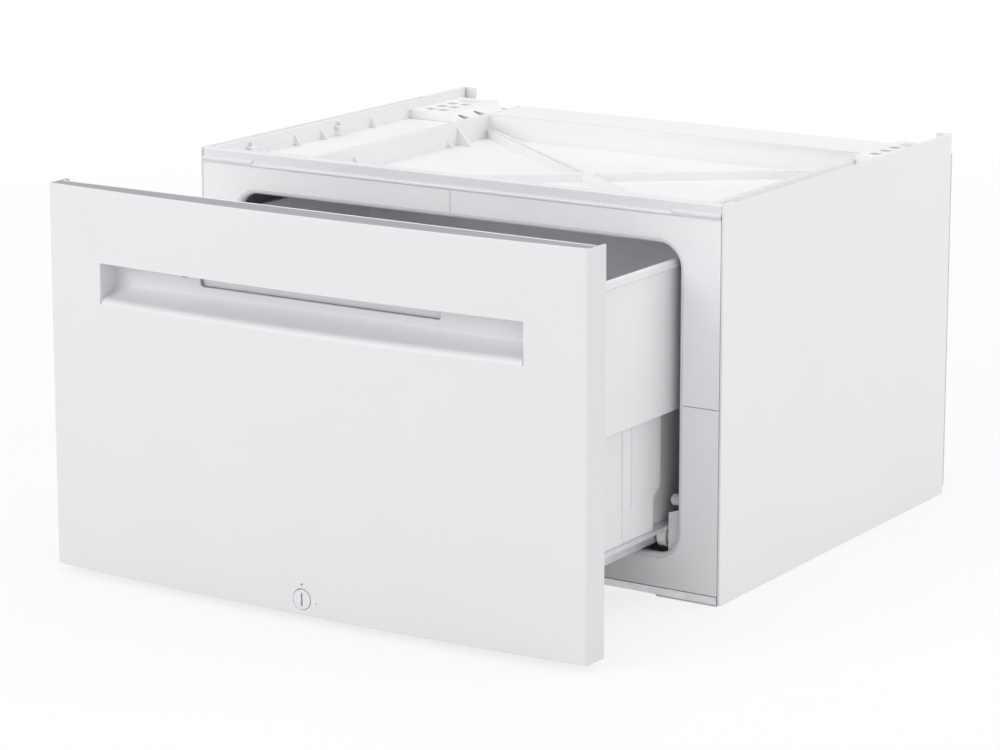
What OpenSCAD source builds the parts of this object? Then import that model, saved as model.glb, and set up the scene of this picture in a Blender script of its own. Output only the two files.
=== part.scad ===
// Washer pedestal drawer: a steel-sided stand for a 60 cm laundry machine with a roller drawer.
// Origin: middle of the cabinet's plan, on the floor. +X right, +Y to the back, +Z up.
// The drawer stands part open. Sizes are in millimetres.

/* [Cabinet] */
// Width over the side panels
cab_w = 598; // [560:1:640]
// Depth of the cabinet without the drawer
cab_d = 480; // [460:1:560]
// Height over the side panels
cab_h = 380; // [372:1:440]
// Thickness of the cabinet's sheet steel
sheet_t = 1.2; // [0.8:0.1:1.5]
// Width of the folded hem on the front edge of a side panel
hem_w = 3; // [2.5:0.1:4]
// Depth of that hem
hem_d = 14; // [10:1:24]
// Gap between the side panels and the floor
panel_lift = 1; // [0.5:0.1:1.5]
// Width of the side panel's inward flange at the back
back_flange_w = 18; // [14:1:26]
// Distance from the cabinet's top to the back panel's top
back_drop = 20; // [18:1:30]

/* [Base and feet] */
// Side of a square corner foot pad
pad_w = 65; // [50:1:80]
// Thickness of a foot pad under the base rails
pad_t = 1.8; // [1.6:0.1:4]
// Radius of the boss that locates a foot pad in its rail
pad_boss_r = 5; // [3:0.5:8]
// Height of the front and rear base rails
rail_h = 7.2; // [6:0.1:12]
// Depth of the front and rear base rails
rail_d = 30; // [24:1:40]
// Thickness of the base rails
rail_t = 1.5; // [1:0.1:2.2]
// Height of the side base rails
side_base_h = 26; // [20:1:30]
// Width of the side base rails
side_base_w = 40; // [30:1:50]

/* [Front frame] */
// Width of the front frame beside the drawer opening
frame_side = 46; // [41:1:50]
// Height of the opening's lower edge above the floor
open_z0 = 41.8; // [40.5:0.1:43]
// Distance of the opening's upper edge below the cabinet's top
frame_head = 41; // [38:1:50]
// Corner radius of the opening
open_r = 23; // [16:1:30]
// Width of the trim ring round the opening
trim_w = 4; // [3:0.1:5]
// Width of the trim's flange behind the fascia
trim_flange = 5; // [3:0.5:7]
// Thickness of the fascia quarters
fascia_t = 2; // [1.6:0.1:3]
// Depth from the front plane to the back of the inner steel frame
frame_depth = 8; // [7:0.5:9]
// Thickness of the inner steel frame
frame_t = 1.5; // [1.2:0.1:2]
// Depth of the inner frame's return beside the opening
frame_return = 24; // [20:1:28]
// Joint line between neighbouring front pieces
joint_gap = 0.6; // [0.4:0.1:1]

/* [Top] */
// Height of the fascia-to-top front rail, measured down from the cabinet's top
top_rail_h = 13.5; // [12:0.5:16]
// Depth of the top front rail
top_rail_d = 12; // [10:1:14]
// Height of the lip along the top front rail's lower edge
top_lip_h = 2.6; // [2:0.2:4]
// Height of that lip's taller ends
top_lip_end_h = 5.6; // [4.5:0.2:7]
// Length of those ends
top_lip_end_w = 52; // [30:1:80]
// Distance from the recess to the cabinet's left side
recess_left_side = 81; // [73:1:99]
// Distance from the recess to the cabinet's right side
recess_right_side = 60; // [60:1:99]
// Distance from the front plane to the front of the recess
recess_y0 = 55; // [48:1:70]
// Distance from the front plane to the back of the recess
recess_y1 = 407; // [390:1:420]
// Depth of the recess below the tray's rim
recess_depth = 25; // [20:1:27]
// Wall and floor thickness of the tray
tray_t = 2.5; // [2:0.1:3]
// Distance of the tray's rim below the cabinet's top
tray_drop = 15; // [14:1:20]
// Width of the cross ribs on the recess floor
rib_w = 8; // [6:1:12]
// Height of the cross ribs
rib_h = 9; // [6:1:12]
// Width of the groove along each cross rib
rib_groove_w = 3; // [2:0.5:4]
// Depth of that groove
rib_groove_d = 2; // [1:0.5:3]
// Distance of the side channels' floor below the cabinet's top
channel_drop = 20; // [18:1:24]
// Thickness of the side channels' outer wall
channel_wall = 3.6; // [3:0.1:4.5]
// Distance of that wall's top below the cabinet's top
channel_wall_drop = 2; // [1:0.5:4]
// Open seam between the tray and the side channels' lip
rail_seam = 1.4; // [0.6:0.2:1.8]
// Thickness of the gussets in the channels and the recess
gusset_t = 2; // [1.6:0.1:3]

/* [Washer seats] */
// Width of a rear foot block
block_w = 49; // [46:1:56]
// Length of a rear foot block
block_l = 100; // [90:1:104]
// Distance from the front plane to the front of the rear foot blocks
block_y0 = 366; // [360:1:368]
// Distance of the rear foot blocks' top below the cabinet's top
block_drop = 10; // [8:0.5:12]
// Wall thickness of the rear foot blocks
block_t = 2.4; // [2:0.1:3]
// Radius of the cup that holds a washer's rear foot
cup_r = 13; // [10:0.5:15]
// Depth of the cup
cup_depth = 7; // [5:0.5:7.2]
// Wall round the cup
cup_wall = 2.4; // [2:0.1:3]
// Distance of the cup's centre from the block's back
cup_back = 17; // [16:1:24]
// Radius of the scalloped arches in the block's inner wall
arch_r = 7.2; // [6:0.2:7.4]
// Distance of the first arch from the block's front
arch_first = 10; // [9:0.5:14]
// Distance between the arches
arch_pitch = 31; // [24:1:36]
// Reach of the sloping apron ahead of the block
apron_lead = 4; // [2:0.5:6]
// Height of the apron at the channel's lip
apron_h = 4; // [2:0.5:5]
// Width of the square holes in the block's deck
deck_hole = 12; // [9:0.5:12]
// Width of a front foot plate
seat_w = 46; // [40:1:54]
// Length of a front foot plate
seat_l = 50; // [44:1:60]
// Thickness of a front foot plate
seat_t = 3; // [2.5:0.5:6]
// Radius of the holes in a front foot plate
seat_hole_r = 2.6; // [2:0.1:3.5]

/* [Drawer front] */
// Distance from the closed drawer front to the cabinet
front_gap = 2.5; // [2:0.1:4]
// How far the drawer stands open
drawer_open = 206; // [150:1:240]
// Full travel of the drawer from closed
drawer_travel = 340; // [300:1:350]
// Thickness of the drawer front
front_t = 27.5; // [25:0.5:32]
// How far the front face bows forward in the middle
front_bow = 12; // [6:0.5:16]
// Height of the drawer front's lower edge above the floor
front_z0 = 7.5; // [6:0.5:10]
// Wall thickness of the drawer front's moulding
skin_t = 2; // [1.6:0.1:2.6]
// Corner radius of the drawer front's upright edges
front_r = 4.5; // [3:0.5:6]
// Gap between the moulding and the grey inner panel
inner_gap = 0.3; // [0.2:0.05:0.5]
// Wall thickness of the inner panel
inner_t = 2.5; // [2:0.1:3]
// Depth from the front face to the inner panel's front plate
inner_depth = 24; // [23:0.5:24.5]
// Distance of the inner panel's top band below the front's top
inner_drop = 0.8; // [0.5:0.1:2]
// Depth of the inner panel's top band behind the front's side edges
inner_band_d = 19; // [14:1:21]

/* [Grip] */
// Width of the front beside the grip recess
grip_side = 64.5; // [49:0.5:109]
// Distance of the recess's upper edge below the front's top
grip_drop = 70.5; // [65:0.5:90]
// Height of the recess's upright back wall
grip_wall_h = 21.5; // [18:0.5:26]
// Height of the curved run-out below the back wall
grip_run_h = 20; // [14:1:24]
// Depth over which the run-out would turn level
grip_run_d = 40; // [36:1:50]
// Depth of the recess behind the front's side edges
grip_depth = 20; // [14:1:20]
// Width of the finger slot in the recess
slot_w = 265; // [200:1:300]
// Height of the finger slot
slot_h = 11; // [8:0.5:14]
// Distance of the slot's top below the recess's upper edge
slot_drop = 2.8; // [2:0.1:4]

/* [Lock] */
// Sideways place of the lock
lock_x = 0; // [-20:1:20]
// Height of the lock
lock_z = 22.5; // [21:0.1:23]
// Radius of the lock's dial
lock_r = 9.4; // [8:0.1:9.6]
// Running gap round the dial
lock_gap = 0.6; // [0.4:0.1:0.8]
// Radius of the lock's shaft
lock_shaft_r = 4; // [3:0.5:4.5]
// Running clearance round the shaft
lock_shaft_gap = 0.08; // [0.03:0.01:0.1]
// Reach of the cam beyond the shaft's axis
cam_reach = 14; // [12:0.5:15]
// Thickness of the cam
cam_t = 3; // [2.5:0.1:4]
// Width of the coin slot
coin_slot_w = 1.8; // [1.5:0.1:2.2]

/* [Drawer tub] */
// Depth of the drawer tub
tub_d = 430; // [400:1:435]
// Wall thickness of the tub
tub_t = 3; // [2.5:0.1:3.5]
// Gap between the tub's upper walls and the opening's side
tub_gap = 9; // [8:0.5:11]
// How far the tub's lower walls stand in from the upper ones
tub_low_step = 9; // [8:0.5:11]
// How far the walls behind the side panels stand in from those
tub_back_step = 9; // [7:0.5:15]
// Length of the wide lower part behind the drawer front
tub_low_d = 208; // [180:1:230]
// Distance of the tub's rim below the opening's top
tub_rim_drop = 15; // [12:1:24]
// Height of the rim bead
rim_h = 8; // [6:1:10]
// How far the rim bead stands out
rim_out = 2; // [1:0.5:2.5]
// Height of the skirt's lower edge above the floor
skirt_z = 179.5; // [170:0.5:190]
// Corner radius at the back of the tub
tub_r = 15; // [8:1:30]
// Height of the side panels' lower edge
panel_z = 102; // [95:1:110]
// Distance from the drawer front's back to the upright groove in the tub's side
tub_groove_y = 134.5; // [120:0.5:140]
// Distance from that groove to the upright rib behind it
tub_rib_gap = 13.5; // [8:0.5:20]

/* [Drawer runners] */
// Height of the drawer rail's top above the floor
drail_z = 68; // [66.5:0.5:70]
// Height of the drawer rail's web
drail_h = 19; // [16:1:20]
// Thickness of the drawer rail
drail_t = 1.5; // [1.2:0.1:2]
// Distance of the drawer rail's web in from the tub's lower wall
drail_inset = 12.5; // [12:0.5:15]
// Width of the drawer rail
drail_w = 16.1; // [15.8:0.1:16.4]
// Height of the drawer rail's turned-down lip
drail_lip = 4; // [3:0.5:5]
// Radius of the four rollers
roller_r = 11; // [9:0.5:11.5]
// Width of the rollers
roller_w = 9; // [8:0.5:9.6]
// Radius of the roller pins
pin_r = 3; // [2.5:0.5:4]
// Running clearance between roller and pin
pin_gap = 0.08; // [0.03:0.01:0.1]
// Running gap between a roller and its track
track_gap = 0.1; // [0.1:0.05:0.2]
// Distance from the front plane to the front roller's axis
front_roller_y = 19; // [18:1:22]
// Distance of the rear roller's axis from the tub's back
rear_roller_back = 25; // [18:1:45]
// Thickness of the front roller bracket
bracket_t = 1.8; // [1.5:0.1:2.2]
// Height of the front roller bracket above the opening's lower edge
bracket_h = 41; // [38:1:42]
// Thickness of the cabinet runner
runner_t = 1.5; // [1.2:0.1:2]
// Length of the cabinet runner
runner_l = 430; // [400:1:435]
// Radius of the guide pegs
peg_r = 5.5; // [4.5:0.5:5.5]
// Height of the guide pegs above the floor
peg_z = 91.5; // [90:0.5:95]
// Distance from the front plane to the guide pegs
peg_y = 18; // [17:1:22]
// Gap between a guide peg and the tub's lower wall
peg_gap = 2.6; // [2:0.1:3]

/* [Fasteners] */
// Radius of the screws' heads
screw_head_r = 4; // [3:0.5:5]
// Height of the screws' heads
screw_head_h = 2; // [1.5:0.5:2.5]
// Width and depth of the screws' slots
screw_slot = 1; // [0.6:0.1:1.2]

/* [Hidden] */
$fn = 48;
eps = 0.01;
front_y = -cab_d / 2;
back_y = cab_d / 2;
side_x = cab_w / 2;
skin_x = side_x - sheet_t;
hem_x = side_x - hem_w;
pad_boss_inset_x = 38;
pad_boss_inset_y = 17;
fit_gap = 0.2;
front_piece_x = hem_x - joint_gap / 2;
base_z1 = pad_t + rail_h;
fascia_z0 = base_z1 + joint_gap;
fascia_z1 = cab_h - top_rail_h - joint_gap;
fascia_seam_z = (fascia_z0 + fascia_z1) / 2;
open_x = side_x - frame_side;
open_z1 = cab_h - frame_head;
recess_x0 = -side_x + recess_left_side;
recess_x1 = side_x - recess_right_side;
recess_l = recess_y1 - recess_y0;
trim_x = open_x + trim_w;
trim_r = open_r + trim_w;
frame_open_x = trim_x + fit_gap;
back_inner_y = back_y - 2 * sheet_t;
tray_z = cab_h - tray_drop;
tray_floor_z = tray_z - recess_depth;
tray_x0 = recess_x0 - tray_t;
tray_x1 = recess_x1 + tray_t;
tray_y0 = front_y + top_rail_d;
tray_back_gap = 4;
tray_y1 = back_y - tray_back_gap;
channel_z = cab_h - channel_drop;
channel_out_x = skin_x - channel_wall;
block_z1 = cab_h - block_drop;
bracket_z0 = open_z0 - 2;
bracket_z1 = bracket_z0 + bracket_h;
bracket_rise = 6;
bracket_flange = 16;
cup_x = channel_out_x - block_w / 2;
cup_y = front_y + block_y0 + block_l - cup_back;
seat_y0 = front_y + recess_y0 - 2;
seat_in_x = channel_out_x - seat_w;
seat_hole_inset = 9;
ledge_w = 20;
gusset_h = 12;
channel_gussets = [0.323, 0.421, 0.61];
recess_gussets = [[0.279, 0.62, 0.66], [0.77, 0.33, 0.32], [0.825, 0.76, 0.8]];
deck_holes_x = [17, 33.5];
deck_holes_y = [16, 38, 60];
clip_w = 8;
clip_h = 6;
clip_t = 2.4;
clip_reach = 7;
clip_y = [0.148 * cab_d, 0.471 * cab_d];
clip_z = channel_z + 8;
front_back_y = front_y - front_gap - drawer_open;
front_face_y = front_back_y - front_t;
inner_front_y = front_face_y + inner_depth;
front_apex_y = front_face_y - front_bow;
bow_r = pow(side_x, 2) / (2 * front_bow) + front_bow / 2;
bow_y = front_apex_y + bow_r;
edge_x = side_x - front_r;
edge_y = bow_y - sqrt(pow(bow_r - front_r, 2) - pow(edge_x, 2));
tangent_x = edge_x * bow_r / (bow_r - front_r);
inner_x = side_x - skin_t - inner_gap;
inner_z0 = front_z0 + skin_t + inner_gap;
inner_shelf_z = cab_h - inner_drop - 9;
grip_hw = side_x - grip_side;
grip_z1 = cab_h - grip_drop;
slot_z1 = grip_z1 - slot_drop;
slot_z0 = slot_z1 - slot_h;
cam_y = front_back_y + front_gap + frame_depth + 1;
housing_r = lock_r + lock_gap + 3;
dial_t = 7;
insert_rim = 4;
cam_w = 8;
keyhole_gap = 1.6;
tub_rim_z = open_z1 - tub_rim_drop;
tub_x = open_x - tub_gap;
tub_low_x = tub_x - tub_low_step;
tub_back_x = tub_low_x - tub_back_step;
drail_x = tub_low_x - drail_inset;
drail_edge = drail_x + drail_w;
roller_in_x = drail_x + drail_t + 2.3;
front_roller_z = drail_z - drail_t - roller_r - track_gap;
bracket_x = drail_edge + 0.6;
rear_roller_in_x = bracket_x + 0.8;
track_x = rear_roller_in_x + roller_w + 1.2;
rear_roller_z = front_roller_z + 2.5;
rear_roller_ay = front_back_y + tub_d - rear_roller_back;
front_roller_ay = front_y + front_roller_y;
track_z0 = rear_roller_z - roller_r - track_gap;
track_z1 = rear_roller_z + roller_r + track_gap;
runner_y0 = front_y + front_roller_y + roller_r + 2;
runner_y1 = runner_y0 + runner_l;
peg_x = tub_low_x + peg_gap;
peg_ay = front_y + peg_y;
stop_y = peg_ay + peg_r + 0.3 + drawer_travel - drawer_open;
stop_l = 14;
support_y = [0.125 * cab_d, 0.6875 * cab_d];
support_l = 40;

// Helpers: a block between two corners, slabs along each axis, and the mirrored side
module block(x0, x1, y0, y1, z0, z1) {
    translate([x0, y0, z0])
        cube([x1 - x0, y1 - y0, z1 - z0]);
}

// A drawing in X and Z, as thick as y0 to y1
module slab_y(y0, y1) {
    translate([0, y1, 0])
        rotate([90, 0, 0])
            linear_extrude(y1 - y0)
                children();
}

// A drawing in Y and Z, as thick as x0 to x1
module slab_x(x0, x1) {
    translate([x0, 0, 0])
        rotate([90, 0, 90])
            linear_extrude(x1 - x0)
                children();
}

module slab_z(z0, z1) {
    translate([0, 0, z0])
        linear_extrude(z1 - z0)
            children();
}

// A round bar along X, Y or Z
module bar_x(x0, x1, y, z, r) {
    translate([x0, y, z])
        rotate([0, 90, 0])
            cylinder(h = x1 - x0, r = r);
}

module bar_y(y0, y1, x, z, r) {
    translate([x, y0, z])
        rotate([-90, 0, 0])
            cylinder(h = y1 - y0, r = r);
}

module bar_z(z0, z1, x, y, r) {
    translate([x, y, z0])
        cylinder(h = z1 - z0, r = r);
}

module on_side(side) {
    if (side > 0)
        children();
    else
        mirror([1, 0, 0])
            children();
}

// A rectangle from low to high corner with four round corners
module round_rect(x0, x1, y0, y1, r) {
    translate([x0 + r, y0])
        square([x1 - x0 - 2 * r, y1 - y0]);
    translate([x0, y0 + r])
        square([x1 - x0, y1 - y0 - 2 * r]);
    for (x = [x0 + r, x1 - r], y = [y0 + r, y1 - r])
        translate([x, y])
            circle(r = r);
}

// A plan outline with square front corners and round back corners
module back_round(half, y0, y1, r) {
    translate([-half, y0])
        square([2 * half, y1 - y0 - r]);
    translate([-half + r, y0])
        square([2 * half - 2 * r, y1 - y0]);
    for (x = [-half + r, half - r])
        translate([x, y1 - r])
            circle(r = r);
}

// Cabinet sides: a steel skin with a hem in front, a bottom flange and a back flange
module side_panel(side) {
    color("whitesmoke")
        on_side(side) {
            block(skin_x, side_x, front_y, back_y - sheet_t, panel_lift, cab_h);
            block(hem_x, skin_x, front_y, front_y + hem_d, panel_lift, cab_h);
            block(side_x - back_flange_w, skin_x, back_inner_y, back_y - sheet_t, base_z1, cab_h - back_drop);
        }
}

module back_panel() {
    bead_w = 60;
    bead_h = 2;
    bead_r = 12;
    bead_pitch = 170;
    bead_low = 40;
    bead_high = 90;
    top = cab_h - back_drop;
    color("gainsboro") {
        block(-side_x + fit_gap, side_x - fit_gap, back_y - sheet_t, back_y, base_z1, top);
        for (i = [-1:1])
            slab_y(back_y - sheet_t - bead_h, back_y - sheet_t)
                round_rect(i * bead_pitch - bead_w / 2, i * bead_pitch + bead_w / 2,
                           base_z1 + bead_low, top - bead_high, bead_r);
    }
}

// Base rails: an upright web outside and a flat flange on the foot pads
module base_cross_rail(front) {
    y0 = front ? front_y : back_inner_y - rail_d;
    web_y = front ? front_y : back_inner_y - rail_t;
    color("lightgray")
        difference() {
            union() {
                block(-front_piece_x, front_piece_x, y0, y0 + rail_d, pad_t, pad_t + rail_t);
                block(-front_piece_x, front_piece_x, web_y, web_y + rail_t, pad_t, base_z1);
            }
            for (side = [-1, 1])
                bar_z(0, base_z1, side * pad_boss_x(), pad_boss_y(front), pad_boss_r + fit_gap);
        }
}

function pad_boss_x() = front_piece_x - pad_boss_inset_x;
function pad_boss_y(front) = front ? front_y + pad_boss_inset_y : back_inner_y - pad_boss_inset_y;

module base_side_rail(side) {
    y0 = front_y + rail_d;
    y1 = back_inner_y - rail_d;
    color("lightgray")
        on_side(side) {
            block(skin_x - side_base_w, skin_x, y0, y1, pad_t, pad_t + rail_t);
            block(skin_x - rail_t, skin_x, y0, y1, pad_t, pad_t + side_base_h);
        }
}

module foot_pad(side, front) {
    x0 = front_piece_x - pad_w;
    y0 = front ? front_y : back_inner_y - pad_w;
    boss_h = 2;
    color("silver")
        on_side(side)
            difference() {
                union() {
                    block(x0, front_piece_x, y0, y0 + pad_w, 0, pad_t);
                    bar_z(0, pad_t + rail_t + boss_h, pad_boss_x(), pad_boss_y(front), pad_boss_r);
                }
                for (i = [0:3])
                    block(x0 + 8 + 14 * i, x0 + 12 + 14 * i, y0 + 8, y0 + pad_w - 8, -eps, 0.6);
            }
}

// Opening outline in X and Z, grown by a margin
module opening_shape(grow) {
    round_rect(-open_x - grow, open_x + grow, open_z0 - grow, open_z1 + grow, open_r + grow);
}

// Way through the sill for the lock's cam and shaft
module keyhole() {
    translate([lock_x, lock_z])
        circle(r = lock_shaft_r + keyhole_gap);
    translate([lock_x - cam_reach - keyhole_gap, lock_z - cam_w / 2 - keyhole_gap])
        square([cam_reach + keyhole_gap, cam_w + 2 * keyhole_gap]);
}

module front_inner_frame() {
    y1 = front_y + frame_depth;
    foot_z = pad_t + rail_t;
    color("lightgray")
        difference() {
            union() {
                slab_y(y1 - frame_t, y1)
                    difference() {
                        translate([-hem_x, foot_z])
                            square([2 * hem_x, fascia_z1 - foot_z]);
                        opening_shape(trim_w + fit_gap);
                        keyhole();
                    }
                for (side = [-1, 1])
                    on_side(side)
                        block(frame_open_x, frame_open_x + frame_t, y1, y1 + frame_return,
                              bracket_z1 + bracket_rise + 0.3, open_z1 - open_r);
            }
            for (side = [-1, 1])
                on_side(side)
                    bar_x(frame_open_x - eps, frame_open_x + frame_t + eps, peg_ay, peg_z, 2.2);
        }
}

// One quarter of the plastic fascia: left or right, top or bottom
module fascia_quarter(side, top) {
    z0 = top ? fascia_seam_z + joint_gap / 2 : fascia_z0;
    z1 = top ? fascia_z1 : fascia_seam_z - joint_gap / 2;
    rib_inset = 1.5;
    color("lightsteelblue") {
        slab_y(front_y, front_y + fascia_t)
            difference() {
                on_side(side)
                    translate([joint_gap / 2, z0])
                        square([front_piece_x - joint_gap / 2, z1 - z0]);
                opening_shape(trim_w + fit_gap);
                keyhole();
            }
        on_side(side)
            block(front_piece_x - 8, front_piece_x - 8 + rib_inset, front_y + fascia_t,
                  front_y + frame_depth - frame_t, z0 + 20, z1 - 20);
    }
}

// Ring round the opening, held between fascia and inner frame by its flange
module opening_trim() {
    flange_t = 1.5;
    color("white") {
        slab_y(front_y, front_y + frame_depth)
            difference() {
                opening_shape(trim_w);
                opening_shape(0);
            }
        slab_y(front_y + fascia_t, front_y + fascia_t + flange_t)
            difference() {
                opening_shape(trim_w + trim_flange);
                opening_shape(trim_w - 0.5);
            }
    }
}

module top_front_rail() {
    lip_out = 1;
    band_back = 1;
    wall = 2;
    z0 = fascia_z1 + joint_gap;
    z_lip = z0 + top_lip_h;
    color("whitesmoke") {
        block(-front_piece_x, front_piece_x, front_y + band_back, front_y + band_back + wall, z_lip, cab_h);
        block(-front_piece_x, front_piece_x, front_y - lip_out, front_y + band_back + wall, z0, z_lip);
        block(-front_piece_x, front_piece_x, front_y + band_back, tray_y0, cab_h - wall, cab_h);
        block(-front_piece_x, front_piece_x, tray_y0 - wall, tray_y0, tray_z - 8, cab_h);
        for (side = [-1, 1])
            on_side(side)
                block(front_piece_x - top_lip_end_w, front_piece_x, front_y - lip_out, front_y + band_back,
                      z_lip, z0 + top_lip_end_h);
    }
}

// Tray with a sunk recess and two crossing ribs
module top_tray() {
    y0 = front_y + recess_y0;
    y1 = front_y + recess_y1;
    recess_w = recess_x1 - recess_x0;
    mid_x = (recess_x0 + recess_x1) / 2;
    diag = sqrt(pow(recess_w, 2) + pow(y1 - y0, 2));
    diag_angle = atan2(y1 - y0, recess_w);
    skirt = 8;
    groove_end = 6;
    color("white")
        difference() {
            union() {
                difference() {
                    block(tray_x0, tray_x1, tray_y0, tray_y1, tray_z - tray_t, tray_z);
                    block(recess_x0, recess_x1, y0, y1, tray_z - 2 * tray_t, tray_z + eps);
                }
                difference() {
                    block(tray_x0, tray_x1, y0 - tray_t, y1 + tray_t, tray_floor_z - tray_t, tray_z);
                    block(recess_x0, recess_x1, y0, y1, tray_floor_z, tray_z + eps);
                }
                for (y = [tray_y0, tray_y1 - tray_t])
                    block(tray_x0, tray_x1, y, y + tray_t, tray_z - skirt, tray_z);
                intersection() {
                    block(recess_x0, recess_x1, y0, y1, tray_floor_z, tray_floor_z + rib_h);
                    for (turn = [-1, 1])
                        translate([mid_x, (y0 + y1) / 2, tray_floor_z])
                            rotate(turn * diag_angle)
                                translate([-diag / 2, -rib_w / 2, 0])
                                    cube([diag, rib_w, rib_h]);
                }
                for (side = [-1, 1], g = recess_gussets)
                    on_side(side)
                        translate([side > 0 ? recess_x1 : -recess_x0, y0 + g[0] * recess_l, tray_floor_z])
                            rotate([90, 0, 0])
                                linear_extrude(gusset_t)
                                    polygon([[0, 0], [-g[1] * recess_depth, 0], [0, g[2] * recess_depth]]);
            }
            for (turn = [-1, 1])
                translate([mid_x, (y0 + y1) / 2, tray_floor_z + rib_h - rib_groove_d])
                    rotate(turn * diag_angle)
                        translate([-diag / 2 + groove_end, -rib_groove_w / 2, 0])
                            cube([diag - 2 * groove_end, rib_groove_w, rib_groove_d + eps]);
        }
}

// Inner face of a side channel's lip
function lip_in_x(side) = rail_seam + (side > 0 ? tray_x1 : -tray_x0);

// Side channel of the top: outer wall, floor, inner lip and gussets
module side_rail(side) {
    wall_z = cab_h - channel_wall_drop;
    high_y = block_y0 + 29;
    channel_in_x = lip_in_x(side);
    color("white")
        on_side(side)
            difference() {
                union() {
                    block(channel_in_x, skin_x, tray_y0, tray_y1, channel_z - tray_t, channel_z);
                    block(channel_out_x, skin_x, front_y + hem_d, tray_y1, channel_z, wall_z);
                    block(channel_out_x, skin_x, front_y + high_y, tray_y1, wall_z, cab_h);
                    block(channel_in_x, channel_in_x + tray_t, tray_y0, tray_y1, channel_z, tray_z);
                    for (span = [[tray_y0 + tray_t + 0.5, front_y + recess_y0 - tray_t - 0.5],
                                 [front_y + recess_y1 + tray_t + 0.5, tray_y1 - tray_t - 0.5]])
                        block(channel_in_x - ledge_w, channel_in_x, span[0], span[1],
                              channel_z - tray_t, tray_z - tray_t);
                    for (share = channel_gussets)
                        translate([channel_out_x, front_y + share * cab_d, channel_z])
                            rotate([90, 0, 0])
                                linear_extrude(gusset_t)
                                    polygon([[0, 0], [-gusset_h * 0.8, 0], [0, gusset_h]]);
                }
                for (y = clip_y)
                    block(channel_out_x - eps, channel_out_x + 2, front_y + y, front_y + y + clip_w,
                          clip_z, clip_z + clip_h);
                block(hem_x - joint_gap, skin_x + eps, tray_y0 - eps, front_y + hem_d,
                      channel_z - tray_t - eps, channel_z + eps);
            }
}

// Block under a washer's rear foot: ribbed shell, pierced deck, one cup, and where the channel
// is wide enough a sloping apron with arches that reaches down to the channel's lip
module rear_foot_block(side) {
    y0 = front_y + block_y0;
    y1 = y0 + block_l;
    deck_z = block_z1 - block_t;
    apron_in_x = lip_in_x(side) + tray_t + fit_gap;
    in_x = max(channel_out_x - block_w, apron_in_x);
    apron_w = in_x - apron_in_x;
    arches_y = [y0 + arch_first, y0 + arch_first + arch_pitch];
    deck_hole_r = 0.3 * deck_hole;
    half_hole = deck_hole / 2;
    inner_end_x = in_x + block_t;
    deck_ribs_y = [for (i = [0, 1]) y0 + (deck_holes_y[i] + deck_holes_y[i + 1] + gusset_t) / 2];
    color("white")
        on_side(side)
            difference() {
                union() {
                    difference() {
                        block(in_x, channel_out_x, y0, y1, channel_z, block_z1);
                        block(inner_end_x, channel_out_x - block_t, y0 + block_t, y1 - block_t,
                              channel_z - eps, deck_z);
                    }
                    bar_z(channel_z, block_z1, cup_x, cup_y, cup_r + cup_wall);
                    for (y = deck_ribs_y)
                        block(inner_end_x, channel_out_x - block_t, y - gusset_t, y, channel_z, deck_z);
                    if (apron_w > arch_r)
                        intersection() {
                            translate([0, y1, 0])
                                rotate([90, 0, 0])
                                    linear_extrude(block_l + apron_lead)
                                        polygon([[apron_in_x, channel_z], [in_x + eps, channel_z],
                                                 [in_x + eps, block_z1 - 1],
                                                 [apron_in_x, channel_z + apron_h]]);
                            slab_z(channel_z, block_z1)
                                polygon([[apron_in_x, y0 - apron_lead], [in_x + eps, y0],
                                         [in_x + eps, y1], [apron_in_x, y1 - apron_w]]);
                        }
                }
                for (y = arches_y)
                    bar_x(apron_in_x - eps, inner_end_x + eps, y, channel_z, arch_r);
                bar_z(block_z1 - cup_depth, block_z1 + eps, cup_x, cup_y, cup_r);
                for (x = deck_holes_x, y = deck_holes_y)
                    translate([channel_out_x - x, y0 + y, 0])
                        slab_z(deck_z - eps, block_z1 + eps)
                            round_rect(-half_hole, half_hole, -half_hole, half_hole, deck_hole_r);
            }
}

module front_foot_plate(side) {
    color("white")
        on_side(side)
            difference() {
                block(seat_in_x, channel_out_x, seat_y0, seat_y0 + seat_l, channel_z, channel_z + seat_t);
                for (x = [seat_in_x + seat_hole_inset, channel_out_x - seat_hole_inset],
                     y = [seat_y0 + seat_hole_inset, seat_y0 + seat_l - seat_hole_inset])
                    bar_z(channel_z - eps, channel_z + seat_t + eps, x, y, seat_hole_r);
            }
}

// Hooks that hold the washer's side rails: each sits in a pocket of the channel wall
module tray_clips() {
    color("gainsboro")
        for (side = [-1, 1], y = clip_y)
            on_side(side)
                union() {
                    block(channel_out_x, channel_out_x + 2, front_y + y + fit_gap,
                          front_y + y + clip_w - fit_gap, clip_z + fit_gap, clip_z + clip_t);
                    block(channel_out_x - clip_reach, channel_out_x, front_y + y + fit_gap,
                          front_y + y + clip_w - fit_gap, clip_z + fit_gap, clip_z + clip_t);
                    block(channel_out_x - clip_reach, channel_out_x - clip_reach + 2, front_y + y + fit_gap,
                          front_y + y + clip_w - fit_gap, clip_z - 2, clip_z + clip_t);
                }
}

// Cabinet runner: a C channel open towards the drawer
module runner(side) {
    color("silver")
        on_side(side) {
            block(track_x, track_x + runner_t, runner_y0, runner_y1,
                  track_z0 - runner_t, track_z1 + runner_t);
            for (z = [track_z0 - runner_t, track_z1])
                block(bracket_x + 0.3, track_x, runner_y0, runner_y1, z, z + runner_t);
        }
}

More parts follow.
